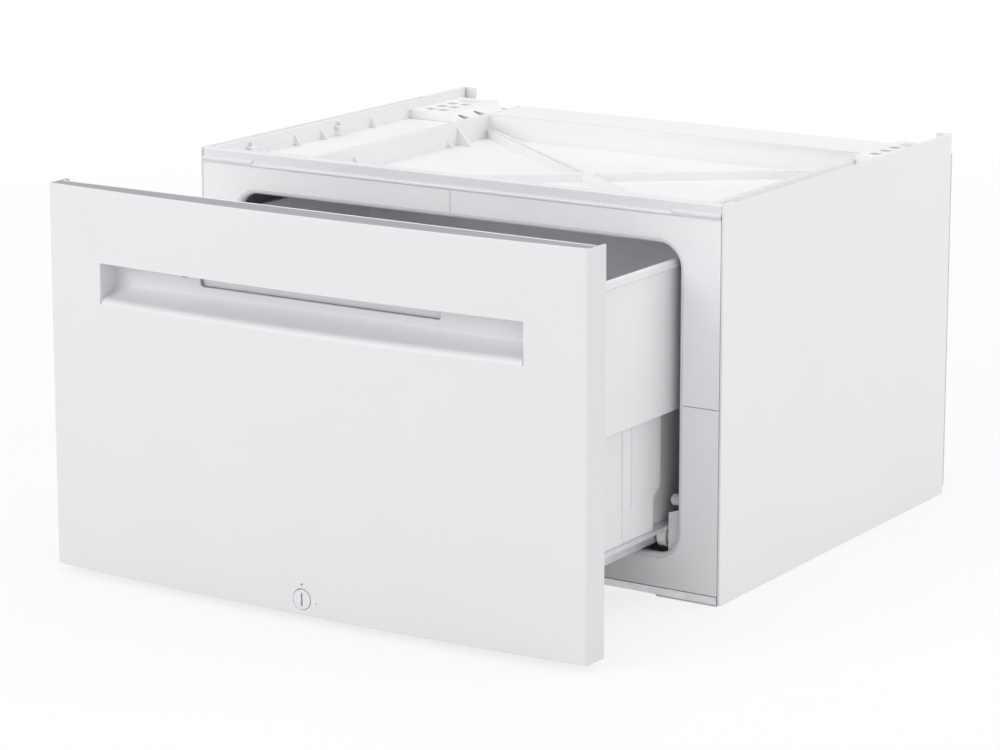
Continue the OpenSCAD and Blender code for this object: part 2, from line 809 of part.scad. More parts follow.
// Two hat brackets that carry a runner from the side panel
module runner_supports(side) {
    z0 = track_z0 - runner_t;
    z1 = track_z1 + runner_t;
    x0 = track_x + runner_t;
    color("lightgray")
        on_side(side)
            for (y = support_y) {
                block(x0, x0 + rail_t, front_y + y, front_y + y + support_l, z0, z1);
                block(skin_x - rail_t, skin_x, front_y + y, front_y + y + support_l, z0, z1 + 20);
                block(x0, skin_x, front_y + y, front_y + y + support_l, z1, z1 + rail_t);
            }
}

// Bracket behind the inner frame that holds the front roller's pin
module roller_bracket(side) {
    y0 = front_y + frame_depth;
    z0 = bracket_z0;
    z1 = bracket_z1;
    x1 = frame_open_x + bracket_flange;
    color("white")
        on_side(side)
            difference() {
                union() {
                    slab_y(y0, y0 + bracket_t)
                        polygon([[bracket_x, z0], [x1, z0], [x1, z1 + bracket_rise],
                                 [frame_open_x, z1 + bracket_rise], [bracket_x, z1]]);
                    block(bracket_x, bracket_x + bracket_t, y0, front_roller_ay + roller_r - 2, z0, z1 - 2);
                }
                bar_x(bracket_x - eps, bracket_x + bracket_t + eps, front_roller_ay, front_roller_z, pin_r);
            }
}

module front_roller_pin(side) {
    head_t = 1.2;
    head_r = pin_r + 1.6;
    y = front_roller_ay;
    x0 = roller_in_x - 0.3;
    x1 = bracket_x + bracket_t;
    color("silver")
        on_side(side) {
            bar_x(x0, x1, y, front_roller_z, pin_r);
            bar_x(roller_in_x + roller_w + 0.3, bracket_x, y, front_roller_z, head_r);
            bar_x(x1, x1 + head_t, y, front_roller_z, head_r);
            bar_x(x0 - head_t, x0, y, front_roller_z, head_r);
        }
}

// A roller with a crowned rim and a hub, on an axis along X
module roller(side, x0, y, z) {
    groove = 1.2;
    color("white")
        on_side(side)
            difference() {
                bar_x(x0, x0 + roller_w, y, z, roller_r);
                bar_x(x0 - eps, x0 + roller_w + eps, y, z, pin_r + pin_gap);
                for (x = [x0 - eps, x0 + roller_w - groove + eps])
                    difference() {
                        bar_x(x, x + groove, y, z, roller_r - 2);
                        bar_x(x, x + groove, y, z, pin_r + 2.2);
                    }
            }
}

module guide_peg(side) {
    nose = 2;
    color("whitesmoke")
        on_side(side) {
            bar_x(peg_x + nose, frame_open_x, peg_ay, peg_z, peg_r);
            translate([peg_x, peg_ay, peg_z])
                rotate([0, 90, 0])
                    cylinder(h = nose, r1 = peg_r - nose, r2 = peg_r);
            bar_x(frame_open_x, frame_open_x + frame_t, peg_ay, peg_z, 2.2);
        }
}

// Screw heads with a cross recess, on an axis along Y
module screw_head_y(x, y, z, out) {
    y0 = out > 0 ? y : y - screw_head_h;
    slot_y0 = out > 0 ? y + screw_head_h - screw_slot : y - screw_head_h - eps;
    slot_y1 = slot_y0 + screw_slot + eps;
    reach = screw_head_r * 0.6;
    half = screw_slot / 2;
    difference() {
        bar_y(y0, y0 + screw_head_h, x, z, screw_head_r);
        block(x - reach, x + reach, slot_y0, slot_y1, z - half, z + half);
        block(x - half, x + half, slot_y0, slot_y1, z - reach, z + reach);
    }
}

module frame_screws() {
    color("silver")
        for (side = [-1, 1], share = [0.2, 0.68])
            screw_head_y(side * (frame_open_x + bracket_flange * 0.56), front_y + frame_depth + bracket_t,
                         bracket_z0 + share * bracket_h, 1);
}

module back_panel_screws() {
    color("silver")
        for (side = [-1, 1], share = [0.085, 0.5, 0.93])
            screw_head_y(side * (side_x - back_flange_w / 2), back_y,
                         base_z1 + share * (cab_h - back_drop - base_z1), 1);
}

// Plan of what lies behind the bowed face, shifted back by a depth
module behind_face(depth, half) {
    intersection() {
        translate([0, bow_y + depth])
            circle(r = bow_r, $fn = 900);
        translate([-half, front_apex_y - 1])
            square([2 * half, front_back_y - front_apex_y + 1]);
    }
}

module front_plan() {
    behind_face(0, tangent_x);
    translate([-side_x, edge_y])
        square([cab_w, front_back_y - edge_y]);
    for (side = [-1, 1])
        translate([side * edge_x, edge_y])
            circle(r = front_r);
}

// Side view of the grip's hollow: an upright back wall, then a curve that runs out to the face
module grip_profile(grow) {
    steps = 12;
    end_angle = 86;
    back = front_face_y + grip_depth + grow;
    bend_z = grip_z1 - grip_wall_h;
    polygon(concat(
        [[front_apex_y - 1, grip_z1 + grow], [back, grip_z1 + grow]],
        [for (i = [0:steps])
            let (a = end_angle * i / steps)
            [back - (grip_run_d + grow) * (1 - cos(a)), bend_z - (grip_run_h + grow) * sin(a)]],
        [[front_apex_y - 1, bend_z - (grip_run_h + grow) * sin(end_angle)]]
    ));
}

module grip_body(grow) {
    slab_x(-grip_hw - grow, grip_hw + grow)
        grip_profile(grow);
}

module finger_slot(y0, y1) {
    slab_y(y0, y1)
        round_rect(-slot_w / 2, slot_w / 2, slot_z0, slot_z1, 4);
}

// Drawer front: one white moulding, open at the back, with the grip recess moulded in
module drawer_front() {
    color("whitesmoke")
        difference() {
            union() {
                difference() {
                    slab_z(front_z0, cab_h)
                        front_plan();
                    slab_z(front_z0 + skin_t, cab_h + eps)
                        behind_face(skin_t, side_x - skin_t);
                }
                intersection() {
                    grip_body(skin_t);
                    slab_z(front_z0, cab_h)
                        behind_face(skin_t / 2, side_x - skin_t);
                }
            }
            grip_body(0);
            finger_slot(front_face_y + grip_depth - 1, front_face_y + grip_depth + skin_t + eps);
            bar_y(front_apex_y - eps, front_apex_y + skin_t + 1, lock_x, lock_z, lock_r + lock_gap);
        }
}

// Pocket behind the finger slot
module grip_insert() {
    wall = 1.2;
    y0 = front_face_y + grip_depth + skin_t;
    y1 = front_back_y - wall;
    color("silver")
        difference() {
            block(-slot_w / 2 - insert_rim, slot_w / 2 + insert_rim, y0, y1,
                  slot_z0 - insert_rim, slot_z1 + insert_rim);
            finger_slot(y0 - eps, y1 - wall);
        }
}

// Grey panel that closes the drawer front: a plate with a border that reaches forward
module inner_panel() {
    band_wall = 2;
    z1 = cab_h - inner_drop;
    y0 = inner_front_y;
    band_y = front_face_y + inner_band_d;
    color("darkgray")
        difference() {
            union() {
                block(-inner_x, inner_x, y0, y0 + inner_t, inner_z0, inner_shelf_z);
                block(-inner_x, inner_x, band_y - band_wall, y0, inner_shelf_z - inner_t, inner_shelf_z);
                block(-inner_x, inner_x, band_y - band_wall, band_y, inner_shelf_z, z1);
                slab_z(z1 - inner_t, z1)
                    difference() {
                        behind_face(skin_t + inner_gap, inner_x);
                        translate([-side_x, band_y - band_wall])
                            square([cab_w, front_t]);
                    }
                for (side = [-1, 1])
                    on_side(side)
                        block(inner_x - inner_t, inner_x, front_face_y + front_r + 1, y0 + inner_t,
                              inner_z0, z1);
                slab_z(inner_z0, inner_z0 + inner_t)
                    difference() {
                        behind_face(skin_t + inner_gap, inner_x);
                        translate([-inner_x - 1, y0])
                            square([2 * inner_x + 2, front_t]);
                    }
                block(-tub_x + 20, tub_x - 20, y0 + inner_t, front_back_y, skirt_z, tub_rim_z - 20);
            }
            block(-slot_w / 2 - insert_rim - fit_gap, slot_w / 2 + insert_rim + fit_gap, y0 - eps,
                  front_back_y + eps, slot_z0 - insert_rim - fit_gap, slot_z1 + insert_rim + fit_gap);
            bar_y(front_apex_y, front_back_y + eps, lock_x, lock_z, housing_r + fit_gap);
        }
}

// Collar of the lock: held in the inner panel, guides the dial and the shaft
module lock_housing() {
    y0 = front_apex_y + skin_t + 0.1;
    flange = 2.5;
    color("gray")
        difference() {
            union() {
                bar_y(y0, front_back_y, lock_x, lock_z, housing_r);
                bar_y(inner_front_y + inner_t, front_back_y, lock_x, lock_z, housing_r + flange);
            }
            bar_y(y0 - eps, front_apex_y + dial_t + 1, lock_x, lock_z, lock_r + lock_gap);
            bar_y(y0, front_back_y + eps, lock_x, lock_z, lock_shaft_r + lock_shaft_gap);
            block(lock_x - 2 * housing_r, lock_x + 2 * housing_r, y0 - eps, front_back_y + eps,
                  front_z0 - housing_r, inner_z0 + inner_t + eps);
        }
}

module lock_knob() {
    slot_depth = 1.5;
    slot_half = 6.3;
    y0 = front_apex_y - 0.4;
    color("white")
        difference() {
            union() {
                bar_y(y0, y0 + dial_t, lock_x, lock_z, lock_r);
                bar_y(y0 + dial_t, cam_y, lock_x, lock_z, lock_shaft_r);
            }
            block(lock_x - coin_slot_w / 2, lock_x + coin_slot_w / 2, y0 - eps, y0 + slot_depth,
                  lock_z - slot_half, lock_z + slot_half);
        }
}

module lock_cam() {
    color("silver")
        slab_y(cam_y, cam_y + cam_t) {
            translate([lock_x, lock_z])
                circle(r = lock_shaft_r + 0.6);
            translate([lock_x - cam_reach + cam_w / 2, lock_z - cam_w / 2])
                square([cam_reach - cam_w / 2, cam_w]);
            translate([lock_x - cam_reach + cam_w / 2, lock_z])
                circle(r = cam_w / 2);
        }
}

module lock_cam_screw() {
    color("silver")
        screw_head_y(lock_x, cam_y + cam_t, lock_z, 1);
}

// Outline of the tub's wide lower part seen from the side, drawn in by a wall below and behind
module tub_low_shape(wall, z1) {
    y0 = front_back_y + tub_t - wall;
    y1 = front_back_y + tub_low_d - wall;
    cut_y = 13;
    polygon([
        [y0, drail_z + wall], [y1 - cut_y, drail_z + wall], [y1 - cut_y, panel_z - 2],
        [y1, panel_z + 6], [y1, z1], [y0, z1]
    ]);
}

// Trough of the drawer: wide in front, narrower behind, with a flange that carries the collar
module drawer_tub() {
    y0 = front_back_y + tub_t;
    y1 = front_back_y + tub_d;
    groove_y = front_back_y + tub_groove_y;
    groove_w = 4.5;
    rib_y = groove_y + groove_w + tub_rib_gap;
    rib_t = 3.5;
    rib_out = 2;
    color("white")
        difference() {
            union() {
                slab_x(-tub_low_x, tub_low_x)
                    tub_low_shape(0, skirt_z);
                slab_z(drail_z, skirt_z)
                    back_round(tub_back_x, y0, y1, tub_r);
                slab_z(skirt_z, skirt_z + tub_t)
                    back_round(tub_x - tub_t, y0, y1 - tub_t, tub_r - tub_t);
                for (side = [-1, 1])
                    on_side(side)
                        slab_z(panel_z, skirt_z)
                            polygon([
                                [tub_low_x - eps, rib_y], [tub_low_x + rib_out, rib_y + 0.8],
                                [tub_low_x + rib_out, rib_y + rib_t - 0.8], [tub_low_x - eps, rib_y + rib_t]
                            ]);
            }
            slab_x(-tub_low_x + tub_t, tub_low_x - tub_t)
                tub_low_shape(tub_t, skirt_z + tub_t + eps);
            slab_z(drail_z + tub_t, skirt_z + tub_t + eps)
                back_round(tub_back_x - tub_t, y0 - eps, y1 - tub_t, tub_r - tub_t);
            for (side = [-1, 1])
                on_side(side) {
                    block(tub_low_x - tub_t / 2, tub_low_x + 1, groove_y, groove_y + groove_w,
                          panel_z, skirt_z);
                    block(tub_low_x - tub_t / 4, tub_low_x + 1, groove_y + groove_w - 0.6,
                          groove_y + groove_w, drail_z - 1, panel_z + 1);
                }
        }
}

// Collar round the top of the trough: upper side and back walls with the rim bead
module tub_collar() {
    y0 = front_back_y + tub_t;
    y1 = front_back_y + tub_d;
    color("ghostwhite")
        difference() {
            union() {
                slab_z(skirt_z, tub_rim_z)
                    back_round(tub_x, y0, y1, tub_r);
                slab_z(tub_rim_z - rim_h, tub_rim_z)
                    back_round(tub_x + rim_out, y0, y1 + rim_out, tub_r + rim_out);
            }
            slab_z(skirt_z - eps, tub_rim_z + eps)
                back_round(tub_x - tub_t, y0 - eps, y1 - tub_t, tub_r - tub_t);
        }
}

// Plate that closes the tub behind the drawer front
module tub_front_plate() {
    y0 = front_back_y;
    y1 = front_back_y + tub_t;
    color("snow") {
        block(-tub_low_x, tub_low_x, y0, y1, drail_z, skirt_z);
        block(-tub_x, tub_x, y0, y1, skirt_z, tub_rim_z - rim_h);
        block(-tub_x - rim_out, tub_x + rim_out, y0, y1, tub_rim_z - rim_h, tub_rim_z);
    }
}

// Drawer rail: upright web, flange on top and a turned-down lip outside
module drawer_rail(side) {
    y0 = front_back_y;
    y1 = y0 + tub_d - tub_r;
    color("silver")
        on_side(side)
            difference() {
                union() {
                    block(drail_x, drail_x + drail_t, y0, y1 + 14, drail_z - drail_h, drail_z);
                    block(drail_x + drail_t, drail_edge, y0, y1, drail_z - drail_t, drail_z);
                    block(drail_edge - drail_t, drail_edge, y0, y1, drail_z - drail_lip, drail_z - drail_t);
                }
                bar_x(drail_x - eps, drail_x + drail_t + eps, rear_roller_ay, rear_roller_z, pin_r);
            }
}

// Shouldered pin from the drawer rail's web out to the rear roller
module rear_roller_pin(side) {
    head_t = 1.2;
    shoulder_x = rear_roller_in_x - 0.4;
    end_x = rear_roller_in_x + roller_w;
    color("silver")
        on_side(side) {
            bar_x(drail_x, drail_x + drail_t, rear_roller_ay, rear_roller_z, pin_r);
            bar_x(drail_x + drail_t, shoulder_x, rear_roller_ay, rear_roller_z, pin_r + 2);
            bar_x(shoulder_x, end_x, rear_roller_ay, rear_roller_z, pin_r);
            bar_x(drail_x - head_t, drail_x, rear_roller_ay, rear_roller_z, pin_r + 1.6);
        }
}

// Block on the tub that meets the guide peg at full travel
module drawer_stop(side) {
    color("dimgray")
        on_side(side)
            difference() {
                block(tub_back_x, peg_x + peg_r, stop_y, stop_y + stop_l,
                      peg_z - peg_r - 2, peg_z + peg_r + 2);
                block(tub_back_x + 4, peg_x + peg_r - 2, stop_y + 2.5, stop_y + stop_l + eps,
                      peg_z - peg_r, peg_z + peg_r);
            }
}

module drawer_front_screws() {
    color("silver")
        for (across = [-0.74, 0, 0.74], up = [0.17, 0.72])
            screw_head_y(across * tub_x, front_back_y + tub_t, skirt_z + up * (tub_rim_z - skirt_z), 1);
}

module drawer_rail_screws() {
    floor_z = drail_z + tub_t;
    x = tub_back_x - tub_t - 2 * screw_head_r;
    color("silver")
        for (side = [-1, 1], share = [0.093, 0.465, 0.767])
            let (y = front_back_y + share * tub_d)
                on_side(side)
                    difference() {
                        bar_z(floor_z, floor_z + screw_head_h, x, y, screw_head_r);
                        block(x - screw_head_r / 2, x + screw_head_r / 2,
                              y - screw_slot / 2, y + screw_slot / 2,
                              floor_z + screw_head_h - screw_slot, floor_z + screw_head_h + eps);
                    }
}

side_panel(-1);  // side_panel_left
side_panel(1);  // side_panel_right
back_panel();
base_cross_rail(true);  // base_front_rail
base_cross_rail(false);  // base_rear_rail
base_side_rail(-1);  // base_side_rail_left
base_side_rail(1);  // base_side_rail_right
foot_pad(-1, true);  // foot_pad_front_left
foot_pad(1, true);  // foot_pad_front_right
foot_pad(-1, false);  // foot_pad_rear_left
foot_pad(1, false);  // foot_pad_rear_right
front_inner_frame();
fascia_quarter(-1, true);  // front_frame_top_left
fascia_quarter(1, true);  // front_frame_top_right
fascia_quarter(-1, false);  // front_frame_bottom_left
fascia_quarter(1, false);  // front_frame_bottom_right
opening_trim();
top_front_rail();
top_tray();
side_rail(-1);  // side_rail_left
side_rail(1);  // side_rail_right
rear_foot_block(-1);  // rear_foot_block_left
rear_foot_block(1);  // rear_foot_block_right
front_foot_plate(-1);  // front_foot_plate_left
front_foot_plate(1);  // front_foot_plate_right
tray_clips();
runner(-1);  // runner_left
runner(1);  // runner_right
runner_supports(-1);  // runner_supports_left
runner_supports(1);  // runner_supports_right
roller_bracket(-1);  // roller_bracket_left
roller_bracket(1);  // roller_bracket_right
front_roller_pin(-1);  // front_roller_pin_left
front_roller_pin(1);  // front_roller_pin_right
guide_peg(-1);  // guide_peg_left
guide_peg(1);  // guide_peg_right
frame_screws();
back_panel_screws();
roller(-1, roller_in_x, front_roller_ay, front_roller_z);  // front_roller_left
roller(1, roller_in_x, front_roller_ay, front_roller_z);  // front_roller_right
drawer_front();
grip_insert();
inner_panel();
drawer_tub();
tub_collar();
tub_front_plate();
drawer_rail(-1);  // drawer_rail_left
drawer_rail(1);  // drawer_rail_right
rear_roller_pin(-1);  // rear_roller_pin_left
rear_roller_pin(1);  // rear_roller_pin_right
drawer_stop(-1);  // drawer_stop_left
drawer_stop(1);  // drawer_stop_right
lock_housing();
drawer_front_screws();
drawer_rail_screws();
roller(-1, rear_roller_in_x, rear_roller_ay, rear_roller_z);  // rear_roller_left
roller(1, rear_roller_in_x, rear_roller_ay, rear_roller_z);  // rear_roller_right
lock_knob();
lock_cam();
lock_cam_screw();
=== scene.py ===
import bpy
import bmesh
import math
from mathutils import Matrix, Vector


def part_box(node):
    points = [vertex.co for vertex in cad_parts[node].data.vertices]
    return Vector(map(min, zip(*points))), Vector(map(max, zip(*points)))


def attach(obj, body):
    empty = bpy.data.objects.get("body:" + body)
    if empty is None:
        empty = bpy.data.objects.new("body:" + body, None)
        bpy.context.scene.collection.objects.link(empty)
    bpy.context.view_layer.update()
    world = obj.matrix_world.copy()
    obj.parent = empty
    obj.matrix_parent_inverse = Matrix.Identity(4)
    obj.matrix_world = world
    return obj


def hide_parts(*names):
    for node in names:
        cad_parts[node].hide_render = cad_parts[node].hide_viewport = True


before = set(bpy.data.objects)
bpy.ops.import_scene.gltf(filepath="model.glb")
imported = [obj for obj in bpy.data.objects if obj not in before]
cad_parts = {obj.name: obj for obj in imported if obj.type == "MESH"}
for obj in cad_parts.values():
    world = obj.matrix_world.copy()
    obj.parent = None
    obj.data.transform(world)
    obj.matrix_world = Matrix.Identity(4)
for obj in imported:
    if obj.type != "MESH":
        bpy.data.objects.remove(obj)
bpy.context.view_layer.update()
mm = 0.001
weldGap = 0.002 * mm
sameSpot = 0.01  # mm
flatAngle = 0.2  # degrees
print("frame: %d nodes loaded" % len(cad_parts))


# materials: a wire is a socket that takes part in sums, a paint is one node tree
class Wire:
    def __init__(self, paint, socket):
        self.paint = paint
        self.socket = socket

    def combine(self, operation, first, second):
        return self.paint.node("ShaderNodeMath", {"operation": operation}, {0: first, 1: second})[0]

    def __add__(self, other):
        return self.combine("ADD", self, other)

    def __radd__(self, other):
        return self.combine("ADD", other, self)

    def __mul__(self, other):
        return self.combine("MULTIPLY", self, other)

    def __rmul__(self, other):
        return self.combine("MULTIPLY", other, self)

    def __abs__(self):
        return self.paint.node("ShaderNodeMath", {"operation": "ABSOLUTE"}, {0: self})[0]


class Outlets:
    def __init__(self, paint, made):
        self.paint = paint
        self.made = made

    def __getitem__(self, key):
        return Wire(self.paint, self.made.outputs[key])


class Paint:
    def __init__(self, owner):
        self.owner = owner
        owner.use_nodes = True
        self.tree = owner.node_tree
        self.tree.nodes.clear()
        self.place = self.node("ShaderNodeTexCoord")["Object"]

    # any node: its kind, its settings (set first) and the values or wires of its sockets
    def node(self, kind, settings=None, values=None):
        made = self.tree.nodes.new(kind)
        for key, value in (settings or {}).items():
            setattr(made, key, value)
        for key, value in (values or {}).items():
            if isinstance(value, Wire):
                self.tree.links.new(value.socket, made.inputs[key])
            else:
                made.inputs[key].default_value = value
        return Outlets(self, made)

    def stretched(self, x, y, z):
        return self.node("ShaderNodeMapping", {}, {"Vector": self.place, "Scale": (x, y, z)})["Vector"]

    def noise(self, scale, detail, rough, place=None):
        return self.node("ShaderNodeTexNoise", {}, {
            "Vector": place or self.place, "Scale": scale, "Detail": detail, "Roughness": rough})[0]

    def ramp(self, wire, low, high, lowValue=0.0, highValue=1.0):
        values = {"Value": wire, "From Min": low, "From Max": high, "To Min": lowValue, "To Max": highValue}
        return self.node("ShaderNodeMapRange", {"interpolation_type": "SMOOTHSTEP"}, values)["Result"]

    def tint(self, factor, first, second):
        first, second = [value if isinstance(value, Wire) else (*value, 1) for value in (first, second)]
        return self.node("ShaderNodeMix", {"data_type": "RGBA"}, {0: factor, 6: first, 7: second})[2]

    def larger(self, first, second):
        return self.node("ShaderNodeMath", {"operation": "MAXIMUM"}, {0: first, 1: second})[0]

    def bump(self, height, distance, strength, under=None):
        values = {"Height": height, "Distance": distance, "Strength": strength}
        if under:
            values["Normal"] = under
        return self.node("ShaderNodeBump", {}, values)["Normal"]

    def finish(self, colour, roughness, normal, **plain):
        values = {"Base Color": colour, "Roughness": roughness, "Normal": normal}
        values.update({key.replace("_", " "): value for key, value in plain.items()})
        shader = self.node("ShaderNodeBsdfPrincipled", {}, values)
        self.node("ShaderNodeOutputMaterial", {}, {"Surface": shader["BSDF"]})
        return self.owner


def newPaint(name):
    return Paint(bpy.data.materials.new(name))


def shade(tone, by):
    return tuple(part * by for part in tone)


# in the looks a noise is (scale, detail, roughness), a range (low, high) and a bump (metres, strength)
# sprayed steel: a slow drift of tone, fine specks, and orange peel in two sizes
coatLook = {"drift": (5, 2, 0.5), "driftRange": (0.3, 0.7), "driftTone": 0.985,
            "speck": (2600, 1, 0.5), "speckRange": (0.62, 0.72), "speckShare": 0.25, "speckTone": 0.93,
            "peel": (330, 2, 0.55), "peelBump": (0.00012, 0.35),
            "fine": (1500, 2, 0.5), "fineBump": (0.00002, 0.5),
            "gloss": (60, 3, 0.5), "glossSpread": 0.08,
            "coat": {"Coat_Weight": 0.12, "Coat_Roughness": 0.18}}


def powderCoat(name, tone, roughness=0.34):
    look = coatLook
    paint = newPaint(name)
    drift = paint.ramp(paint.noise(*look["drift"]), *look["driftRange"])
    speck = paint.ramp(paint.noise(*look["speck"]), *look["speckRange"])
    base = paint.tint(drift, shade(tone, look["driftTone"]), tone)
    colour = paint.tint(speck * look["speckShare"], base, shade(tone, look["speckTone"]))
    peel = paint.bump(paint.noise(*look["peel"]), *look["peelBump"])
    normal = paint.bump(paint.noise(*look["fine"]), *look["fineBump"], peel)
    spread = look["glossSpread"]
    gloss = paint.noise(*look["gloss"]) * spread + (roughness - spread / 2)
    return paint.finish(colour, gloss, normal, **look["coat"])


# moulded plastic: clouds and flow marks in the tone, pores, faint sink marks and uneven gloss
plasticLook = {"cloud": (9, 3, 0.5), "cloudRange": (0.3, 0.7), "flow": (24, 3, 0.6),
               "flowStretch": (1, 1, 0.35), "flowRange": (0.35, 0.75), "flowShare": 0.3, "flowDepth": 1.3,
               "sink": (38, 2, 0.5), "sinkBump": (0.0003, 0.12), "poreNoise": (2, 0.6), "poreStrength": 0.6,
               "gloss": (130, 3, 0.5), "glossSpread": 0.1, "coatRoughness": 0.12}


def mouldedPlastic(name, tone, roughness=0.45, grain=0.00004, grainScale=1900, drift=0.03, coat=0.0):
    look = plasticLook
    paint = newPaint(name)
    cloud = paint.ramp(paint.noise(*look["cloud"]), *look["cloudRange"])
    flow = paint.ramp(paint.noise(*look["flow"], paint.stretched(*look["flowStretch"])), *look["flowRange"])
    base = paint.tint(cloud, shade(tone, 1 - drift), tone)
    colour = paint.tint(flow * look["flowShare"], base, shade(tone, 1 - drift * look["flowDepth"]))
    sink = paint.bump(paint.noise(*look["sink"]), *look["sinkBump"])
    normal = paint.bump(paint.noise(grainScale, *look["poreNoise"]), grain, look["poreStrength"], sink)
    spread = look["glossSpread"]
    gloss = paint.noise(*look["gloss"]) * spread + (roughness - spread / 2)
    return paint.finish(colour, gloss, normal, Coat_Weight=coat, Coat_Roughness=look["coatRoughness"])


# galvanised sheet: rolling streaks, spangle cells and dull patches
zincLook = {"streak": (24, 4, 0.65), "stretch": (60, 3, 60), "streakBump": (0.00005, 0.4),
            "streakGloss": 0.16, "spangleScale": 160, "spangleShare": 0.35, "spangleTone": 0.82,
            "spangleGloss": 0.08,
            "dull": (32, 4, 0.6), "dullRange": (0.45, 0.8), "dullShare": 0.3, "dullTone": 0.7,
            "smoother": 0.1, "metallic": 0.8}


def zincSteel(name, tone, roughness):
    look = zincLook
    paint = newPaint(name)
    streak = paint.noise(*look["streak"], paint.stretched(*look["stretch"]))
    cells = paint.node("ShaderNodeTexVoronoi", {"feature": "F1"}, {
        "Vector": paint.place, "Scale": look["spangleScale"]})["Color"]
    spangle = paint.node("ShaderNodeSeparateColor", {}, {"Color": cells})[0]
    colour = paint.tint(spangle * look["spangleShare"], tone, shade(tone, look["spangleTone"]))
    dull = paint.ramp(paint.noise(*look["dull"]), *look["dullRange"])
    colour = paint.tint(dull * look["dullShare"], colour, shade(tone, look["dullTone"]))
    gloss = streak * look["streakGloss"] + spangle * look["spangleGloss"] + (roughness - look["smoother"])
    normal = paint.bump(streak, *look["streakBump"])
    return paint.finish(colour, gloss, normal, Metallic=look["metallic"])


# rubber: dust on fine pores
rubberLook = {"dust": (70, 4, 0.65), "dustRange": (0.45, 0.8), "dustShare": 0.4, "dustTone": 1.7,
              "dustGloss": 0.12, "roughness": 0.62, "pores": (1400, 2, 0.5), "poreBump": (0.00006, 0.5)}


def softRubber(name, tone):
    look = rubberLook
    paint = newPaint(name)
    dust = paint.ramp(paint.noise(*look["dust"]), *look["dustRange"])
    colour = paint.tint(dust * look["dustShare"], tone, shade(tone, look["dustTone"]))
    pores = paint.bump(paint.noise(*look["pores"]), *look["poreBump"])
    return paint.finish(colour, dust * look["dustGloss"] + look["roughness"], pores)


finishes = {
    "side_steel": powderCoat("side_powder_coat", (0.80, 0.80, 0.815)),
    "back_steel": powderCoat("back_powder_coat", (0.66, 0.66, 0.67), 0.42),
    "zinc_steel": zincSteel("zinc_steel", (0.80, 0.81, 0.83), 0.42),
    "pin_steel": zincSteel("pin_steel", (0.66, 0.67, 0.69), 0.28),
    "foot_plastic": mouldedPlastic("foot_plastic", (0.66, 0.67, 0.69), 0.55, 0.00008),
    "fascia_plastic": mouldedPlastic("fascia_plastic", (0.86, 0.865, 0.88), 0.42),
    "trim_plastic": mouldedPlastic("trim_plastic", (0.78, 0.79, 0.81), 0.36, coat=0.1),
    "tray_plastic": mouldedPlastic("tray_plastic", (0.84, 0.84, 0.85), 0.5, 0.00006, 1400),
    "roller_plastic": mouldedPlastic("roller_plastic", (0.80, 0.80, 0.79), 0.3),
    "front_plastic": mouldedPlastic("front_plastic", (0.715, 0.72, 0.735), 0.42, 0.00001, 2600, 0.012, 0.06),
    "grey_plastic": mouldedPlastic("grey_plastic", (0.33, 0.34, 0.36), 0.5),
    "tub_plastic": mouldedPlastic("tub_plastic", (0.80, 0.80, 0.82), 0.4),
    "stop_rubber": softRubber("stop_rubber", (0.05, 0.05, 0.055)),
}
print("materials: %d finishes" % len(finishes))


# a finished piece: its finish, rounded edges (in mm), the body it rides on and the nodes it stands for
def addPiece(name, mesh, body, slotName, stands, rounding=None, segments=2, angle=32):
    piece = bpy.data.objects.new(name, mesh)
    bpy.context.scene.collection.objects.link(piece)
    mesh.materials.clear()
    mesh.materials.append(finishes[slotName])
    mesh.polygons.foreach_set("use_smooth", [True] * len(mesh.polygons))
    if rounding:
        soften = piece.modifiers.new("rounded_edges", "BEVEL")
        soften.width = rounding * mm
        soften.segments = segments
        soften.limit_method = "ANGLE"
        soften.angle_limit = math.radians(angle)
        soften.use_clamp_overlap = False
        soften.harden_normals = True
        soften.miter_outer = "MITER_ARC"
        even = piece.modifiers.new("even_normals", "WEIGHTED_NORMAL")
        even.weight = 90
    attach(piece, body)
    if stands:
        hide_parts(*stands)


def meshOf(name, bm):
    bmesh.ops.remove_doubles(bm, verts=bm.verts, dist=weldGap)
    bmesh.ops.recalc_face_normals(bm, faces=bm.faces)
    mesh = bpy.data.meshes.new(name)
    bm.to_mesh(mesh)
    bm.free()
    return mesh


# a copy of a solid with its flat faces joined and its edges rounded
def roundedCopy(node, body, slotName, rounding, segments=2):
    bm = bmesh.new()
    bm.from_mesh(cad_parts[node].data)
    bmesh.ops.remove_doubles(bm, verts=bm.verts, dist=weldGap)
    bmesh.ops.dissolve_limit(bm, angle_limit=math.radians(flatAngle), use_dissolve_boundaries=False,
                             verts=bm.verts, edges=bm.edges)
    mesh = bpy.data.meshes.new(node + "_shown")
    bm.to_mesh(mesh)
    bm.free()
    addPiece(node + "_shown", mesh, body, slotName, [node], rounding, segments)


# where the outline's two axes and the depth of a prism go
placings = {"x": lambda a, b, c: (c, a, b), "y": lambda a, b, c: (a, c, b), "z": lambda a, b, c: (a, b, c)}


# a prism from an outline in two axes, drawn along the third
def prism(bm, outline, axis, low, high):
    rings = []
    for level in (low, high):
        spots = [placings[axis](a, b, level) for a, b in outline]
        rings.append([bm.verts.new([part * mm for part in spot]) for spot in spots])
    count = len(outline)
    for i in range(count):
        j = (i + 1) % count
        bm.faces.new((rings[0][i], rings[0][j], rings[1][j], rings[1][i]))
    bm.faces.new(rings[0])
    bm.faces.new(reversed(rings[1]))


def arc(centreA, centreB, radius, start, end, steps=6):
    turns = [math.radians(start + (end - start) * i / steps) for i in range(steps + 1)]
    return [(centreA + radius * math.cos(turn), centreB + radius * math.sin(turn)) for turn in turns]


def circle(centreA, centreB, radius, sides):
    return arc(centreA, centreB, radius, 0, 360 - 360 / sides, sides - 1)


